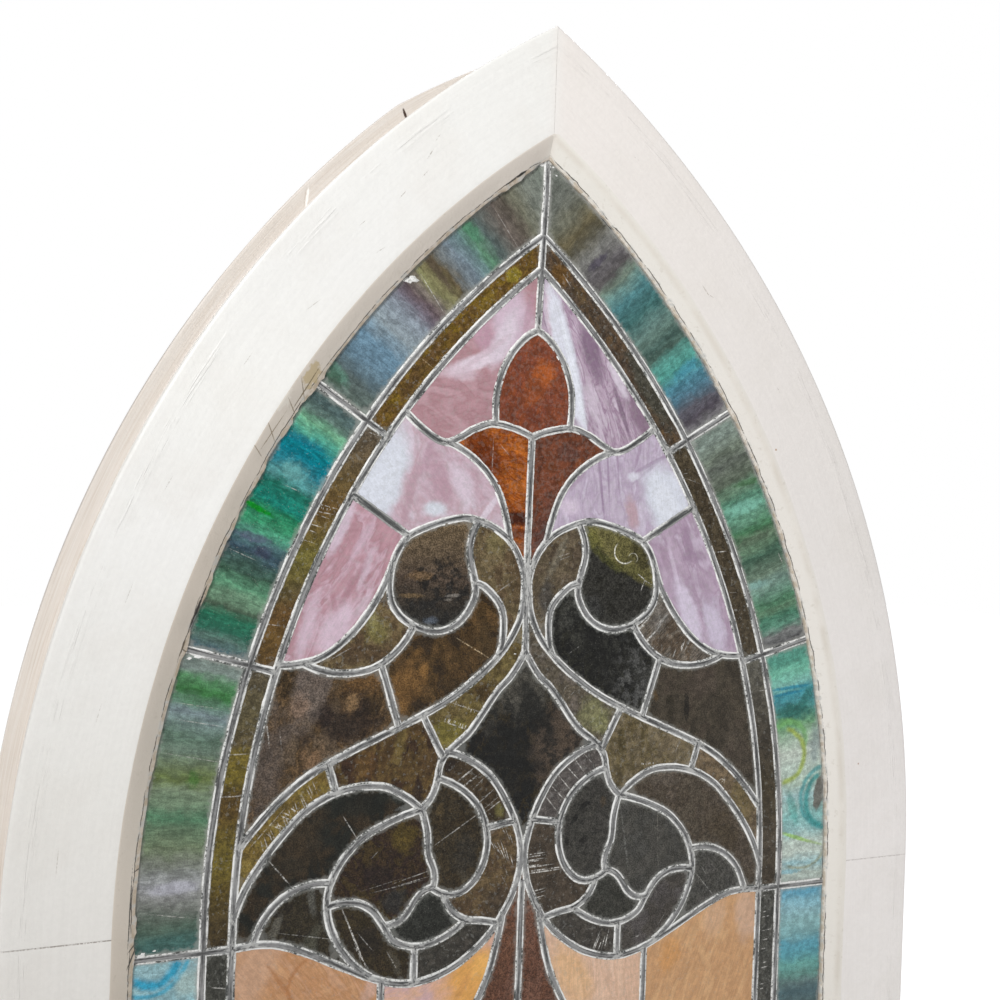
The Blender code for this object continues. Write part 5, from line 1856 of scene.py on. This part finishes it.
def cement_material():
    """Off-white glazing cement, dirty in places."""
    paint = Paint("glazing_cement", 0.75)
    patches = paint.specks(16, 1, 6)
    fine = paint.specks(1.5, 2, 5)
    value = paint.plus(paint.times(patches, 0.6), paint.times(fine, 0.4))
    colour = paint.ramp(paint.spread(value, 0.36, 0.62), [
        (0.0, (72, 74, 72)), (0.18, (116, 118, 115)), (0.32, (188, 188, 185)),
        (0.55, (226, 226, 223)), (1.0, (248, 248, 246))])
    colour = darkened(paint, colour, (98, 99, 97), 5, 0.9, 0.7, 0.5, 0.5)
    paint.relief(fine, 0.2)
    return paint.finish(colour)


PUTTY_TOP = 540.0            # the putty's colours reach up to here
CRACK_PLACE = 0.94           # across the bevel, where a fine crack runs along the glass
CRACK_WANDER = 0.30
EDGE_PLACE = 0.10            # across the bevel, where it is rounded
PUTTY_STAIN = (186, 176, 160)
PUTTY_SHADE = (212, 203, 190)
PUTTY_BARE = (176, 158, 132)
PUTTY_SMEAR = (196, 196, 192)
CRACK_TINT = (70, 60, 48)
GAP_TINT = (46, 44, 40)
CRAZE_TINT = (130, 112, 86)
KNOCK_TINT = (96, 84, 66)
# Cracks, crazing and bare spots in the putty's paint.
PUTTY_DAMAGE = [
    crack(-18.4, 531.8, -27, 525, 1.5, 1.0, GAP_TINT),
    crack(-26, 525.4, -35, 518.4, 0.8, 0.9, GAP_TINT),
    crack(-34, 519.4, -44, 511, 0.5, 0.8, (110, 98, 82)),
    blot((192, 172, 130), -173, 369, 5, 9, 205, 0.8, 0.9, 0.4),
    blot((226, 219, 208), -192, 352, 4.5, 9, 205, 0.9, 1.0, 0.3),
    crack(-168, 374, -184, 346, 0.7, 0.9, (120, 104, 78)),
    crack(-180, 366, -176, 352, 0.6, 0.8, (120, 104, 78)),
    crack(-188, 352, -182, 342, 0.6, 0.8, CRAZE_TINT),
    crack(-202, 336, -196, 324, 0.6, 0.8, CRAZE_TINT),
    crack(-212, 322, -204, 312, 0.6, 0.7, CRAZE_TINT),
    crack(-190, 342, -206, 316, 0.5, 0.8, (140, 122, 96)),
    crack(-236.5, 226, -240, 216, 1.0, 0.9, (70, 66, 56)),
    crack(-238.8, 219, -246.6, 196, 1.6, 1.0, GAP_TINT),
    crack(-236.5, 222, -243, 200, 0.5, 0.9, (150, 134, 108)),
    crack(-249, 190, -253, 178, 0.9, 0.9, KNOCK_TINT),
    crack(-251, 184, -246, 180, 0.8, 0.8, KNOCK_TINT),
    crack(-270, 62, -272, 4, 1.0, 1.0, GAP_TINT), crack(-268, 44, -276, 40, 0.7, 0.9, GAP_TINT),
    crack(-277, 40, -278, -10, 0.7, 0.9, GAP_TINT), crack(-272, -8, -278, -22, 0.9, 0.9, GAP_TINT),
    crack(-278, -12, -272, -6, 0.7, 0.9, GAP_TINT),
    crack(8, 533, 24, 520, 1.0, 0.95, (74, 64, 50)),
    crack(26, 521, 44, 503, 0.9, 0.9, (80, 70, 54)),
]


def by_height(paint, height, top, on_right, left, right):
    """Colours up the window, from (share of the height, colour) stops for each half."""
    level = paint.math("DIVIDE", paint.plus(height, GLASS_DROP), top + GLASS_DROP)
    return paint.mix(on_right, paint.ramp(level, left), paint.ramp(level, right))


def putty_material():
    """Painted putty bevel, creamy, with painted shade: darker on the left, where the bevel faces
    away from the light, its tone changing up the window as the light falls off, and a shade band
    along the rounded edge on the right.
    """
    paint = Paint("painted_putty", 0.5)
    parts = paint.axes(paint.place)
    broad = paint.specks(40, 3)
    on_right = paint.spread(parts["X"], -6, 6)
    # Painted shade: the left bevel, facing away from the light, is darker than the creamy right
    # one, and both change up the window as the light falls off.
    colour = by_height(
        paint, paint.swayed(parts["Z"], broad, 60), PUTTY_TOP, on_right,
        [(0.0, (214, 204, 190)), (0.31, (211, 200, 186)), (0.39, (221, 211, 198)),
         (0.5, (210, 201, 189)), (0.63, (214, 203, 190)), (0.75, (217, 207, 195)),
         (1.0, (221, 212, 202))],
        [(0.0, (239, 234, 226)), (0.36, (240, 235, 227)), (0.5, (240, 235, 228)),
         (0.75, (235, 230, 223)), (1.0, (233, 229, 221))])
    stains = paint.spread(paint.specks(5, 5, 6), 0.58, 0.75, 0, 0.35)
    colour = paint.tinted(colour, stains, PUTTY_STAIN)
    across = paint.mark()[1]["X"]
    shade = paint.times(on_right, paint.spread(paint.away(across, EDGE_PLACE), 0.34, 0.0),
                        paint.spread(broad, 0.35, 0.65, 0.1, 0.55))
    colour = paint.tinted(colour, shade, PUTTY_SHADE)
    line = paint.swayed(across, paint.specks(14, 12, 6), CRACK_WANDER)
    beyond = paint.times(paint.spread(line, CRACK_PLACE + 0.02, CRACK_PLACE + 0.07),
                         paint.spread(paint.specks(6, 8, 6), 0.38, 0.6, 0.2, 0.75))
    colour = paint.tinted(colour, beyond, PUTTY_BARE)
    smears = paint.spread(paint.cloud(paint.place, 9, 5, 21, detail=6), 0.52, 0.6)
    smear = paint.times(paint.spread(line, 0.78, 0.95), smears, 0.7)
    colour = paint.tinted(colour, smear, PUTTY_SMEAR)
    broken = paint.spread(paint.specks(20, 31, 5), 0.42, 0.5, 0.15, 0.95)
    gap = paint.times(paint.spread(paint.away(line, CRACK_PLACE), 0.035, 0.015), broken)
    colour = paint.tinted(colour, gap, CRACK_TINT)
    for layer in PUTTY_DAMAGE:
        colour = layer(paint, colour, 11)
    paint.relief(paint.specks(2.5, 7, 5), 0.25)
    return paint.finish(colour)


WOOD_TOP = 640.0             # the wood's colours reach up to here
RIDGE_WANDER = 7.0
PAINT_STAIN = (228, 222, 214)
PAINT_SPECK = (196, 184, 168)
TICK = (150, 140, 124)
SEAM = (132, 118, 108)
LINE = (176, 168, 156)
KNOCK = (136, 120, 98)
LIP_GAP = (66, 48, 38)
# Joint lines, cracks, ticks and two rusty spots in the wood's paint.
WOOD_DAMAGE = [
    scratch(0, 549, 0, 636, 0.35, 0.3, LINE), scratch(-262, -0.4, -369, -0.4, 0.5, 0.8, SEAM),
    scratch(262, -0.4, 369, -0.4, 0.4, 0.45, SEAM),
    crack(-106.5, 561.3, -109, 567.5, 1.6, 1, LIP_GAP),
    crack(-176.6, 488.2, -175.2, 501.3, 1.5, 0.9, (250, 247, 243)),
    scratch(-178.2, 487.5, -176.9, 500, 0.4, 0.6, (190, 174, 158)),
    scratch(-93, 534, -97, 527, 0.5, 0.6, TICK), scratch(-96, 519, -100, 514, 0.4, 0.6, TICK),
    scratch(-112, 502, -116, 497, 0.45, 0.6, TICK), scratch(-126, 461, -131, 457, 0.45, 0.6, TICK),
    scratch(-88, 546, -91, 541, 0.35, 0.5, TICK), scratch(-140, 478, -144, 474, 0.35, 0.5, TICK),
    scratch(-170, 420, -178, 413, 0.4, 0.4, TICK), scratch(-214, 380, -219, 372, 0.4, 0.4, TICK),
    scratch(-262, 296, -266, 288, 0.4, 0.4, TICK), scratch(-300, 150, -303, 138, 0.4, 0.35, TICK),
    scratch(-284, 226, -288, 214, 0.35, 0.35, TICK), scratch(-322, 60, -323, 44, 0.4, 0.35, TICK),
    scratch(132, 462, 138, 455, 0.5, 0.6, KNOCK), scratch(138, 456, 142, 454, 0.4, 0.5, KNOCK),
    scratch(66, 554, 72, 551, 0.35, 0.4, TICK), scratch(205, 388, 208, 384, 0.4, 0.4, TICK),
    scratch(182, 330, 192, 318, 0.5, 0.35, LINE),
    blot((170, 120, 62), 206, 338, 0.8, 0.8, 0, 0.8, 0),
    blot((160, 110, 60), 300, 80, 0.7, 0.7, 0, 0.7, 0),
]


def wood_paint():
    """White gloss paint on wood, with brush marks and painted light falloff over the face, and
    beige painted shade on the set-back lip, darker higher up.
    """
    paint = Paint("white_paint", 0.4)
    parts = paint.axes(paint.place)
    # Painted light: the face's tone rises and falls up each half of the window and differs between
    # the halves, as the light falls off.
    colour = by_height(
        paint, parts["Z"], WOOD_TOP, paint.spread(parts["X"], -10, 10),
        [(0.0, (238, 235, 229)), (0.3, (239, 236, 231)), (0.42, (242, 240, 235)),
         (0.6, (247, 246, 243)), (0.7, (246, 245, 241)), (0.8, (240, 239, 236)),
         (1.0, (238, 237, 233))],
        [(0.0, (243, 239, 235)), (0.34, (248, 243, 240)), (0.44, (245, 240, 237)),
         (0.6, (241, 236, 232)), (1.0, (237, 231, 226))])
    broad = paint.specks(55, 4, 5)
    colour = paint.tinted(colour, paint.spread(broad, 0.42, 0.7, 0, 0.22), PAINT_STAIN)
    small = paint.specks(3.2, 14, 5)
    colour = paint.shaded(colour, paint.spread(small, 0.3, 0.7, 0.982, 1.012))
    vector, mark = paint.mark()
    brush = paint.strands(vector, (0.011, 0.6, 0.6), 5, 6)
    colour = paint.shaded(colour, paint.spread(brush, 0.3, 0.7, 0.985, 1.01))
    dots = paint.times(paint.spread(paint.specks(1.3, 6, 2), 0.74, 0.80),
                       paint.spread(paint.specks(30, 7, 2), 0.5, 0.62, 0, 0.55))
    colour = paint.tinted(colour, dots, PAINT_SPECK)

    lip = paint.times(paint.spread(mark["Y"], FACE_RADIUS - 1.2, FACE_RADIUS + 0.4),
                      paint.spread(mark["Z"], LIP_DEPTH - 3, LIP_DEPTH - 1), 0.9)
    # Painted shade on the set-back lip's side: beige with a grain, darker higher up.
    lip_shade = paint.ramp(paint.strands(vector, (0.02, 1.3, 1.3), 9, 6), [
        (0.25, (218, 204, 190)), (0.5, (232, 222, 212)), (0.75, (240, 233, 226))])
    lip_shade = paint.shaded(lip_shade, paint.spread(parts["Z"], 120, 430, 1.0, 0.84))
    colour = paint.mix(lip, colour, lip_shade)
    for layer in WOOD_DAMAGE:
        colour = layer(paint, colour, 23)

    inset = paint.plus(mark["Y"], paint.times(paint.specks(45, 15, 3), RIDGE_WANDER))
    off_ridge = paint.away(inset, FACE_RADIUS - RIDGE_INSET + RIDGE_WANDER / 2)
    strand = paint.strands(vector, (0.02, 0.5, 0), 17, 3)
    ridge = paint.times(paint.spread(off_ridge, 5, 0.5), paint.spread(broad, 0.45, 0.55),
                        paint.spread(strand, 0.45, 0.6))
    bumps = paint.spread(paint.specks(5, 16, 2), 0.72, 0.86)
    height = paint.plus(paint.times(brush, 0.5), paint.times(small, 1.3), paint.plus(ridge, bumps))
    paint.relief(height, 0.25)
    return paint.finish(colour)


# ---------------------------------------------------------------- the scene

add_camera()
add_floor()
add_world()
add_lights()
build_leading().data.materials.append(lead_material())
cement = cement_material()
for name, step, back in (("cement_front", LINE_STEP, False), ("cement_back", LINE_STEP * 2, True)):
    build_cement(name, step, back).data.materials.append(cement)
for number, pane in enumerate(build_panes()):
    kind = pane.name.replace("_glass", "")
    side = -1 if kind.endswith("left") else 1
    slot = slot_of(pane.name)
    pane.data.materials.append(glass_material(pane.name, GLASS[kind], number, side, slot))
painted_wood = wood_paint()
for member in build_sash():
    member.data.materials.append(painted_wood)
build_putty().data.materials.append(putty_material())
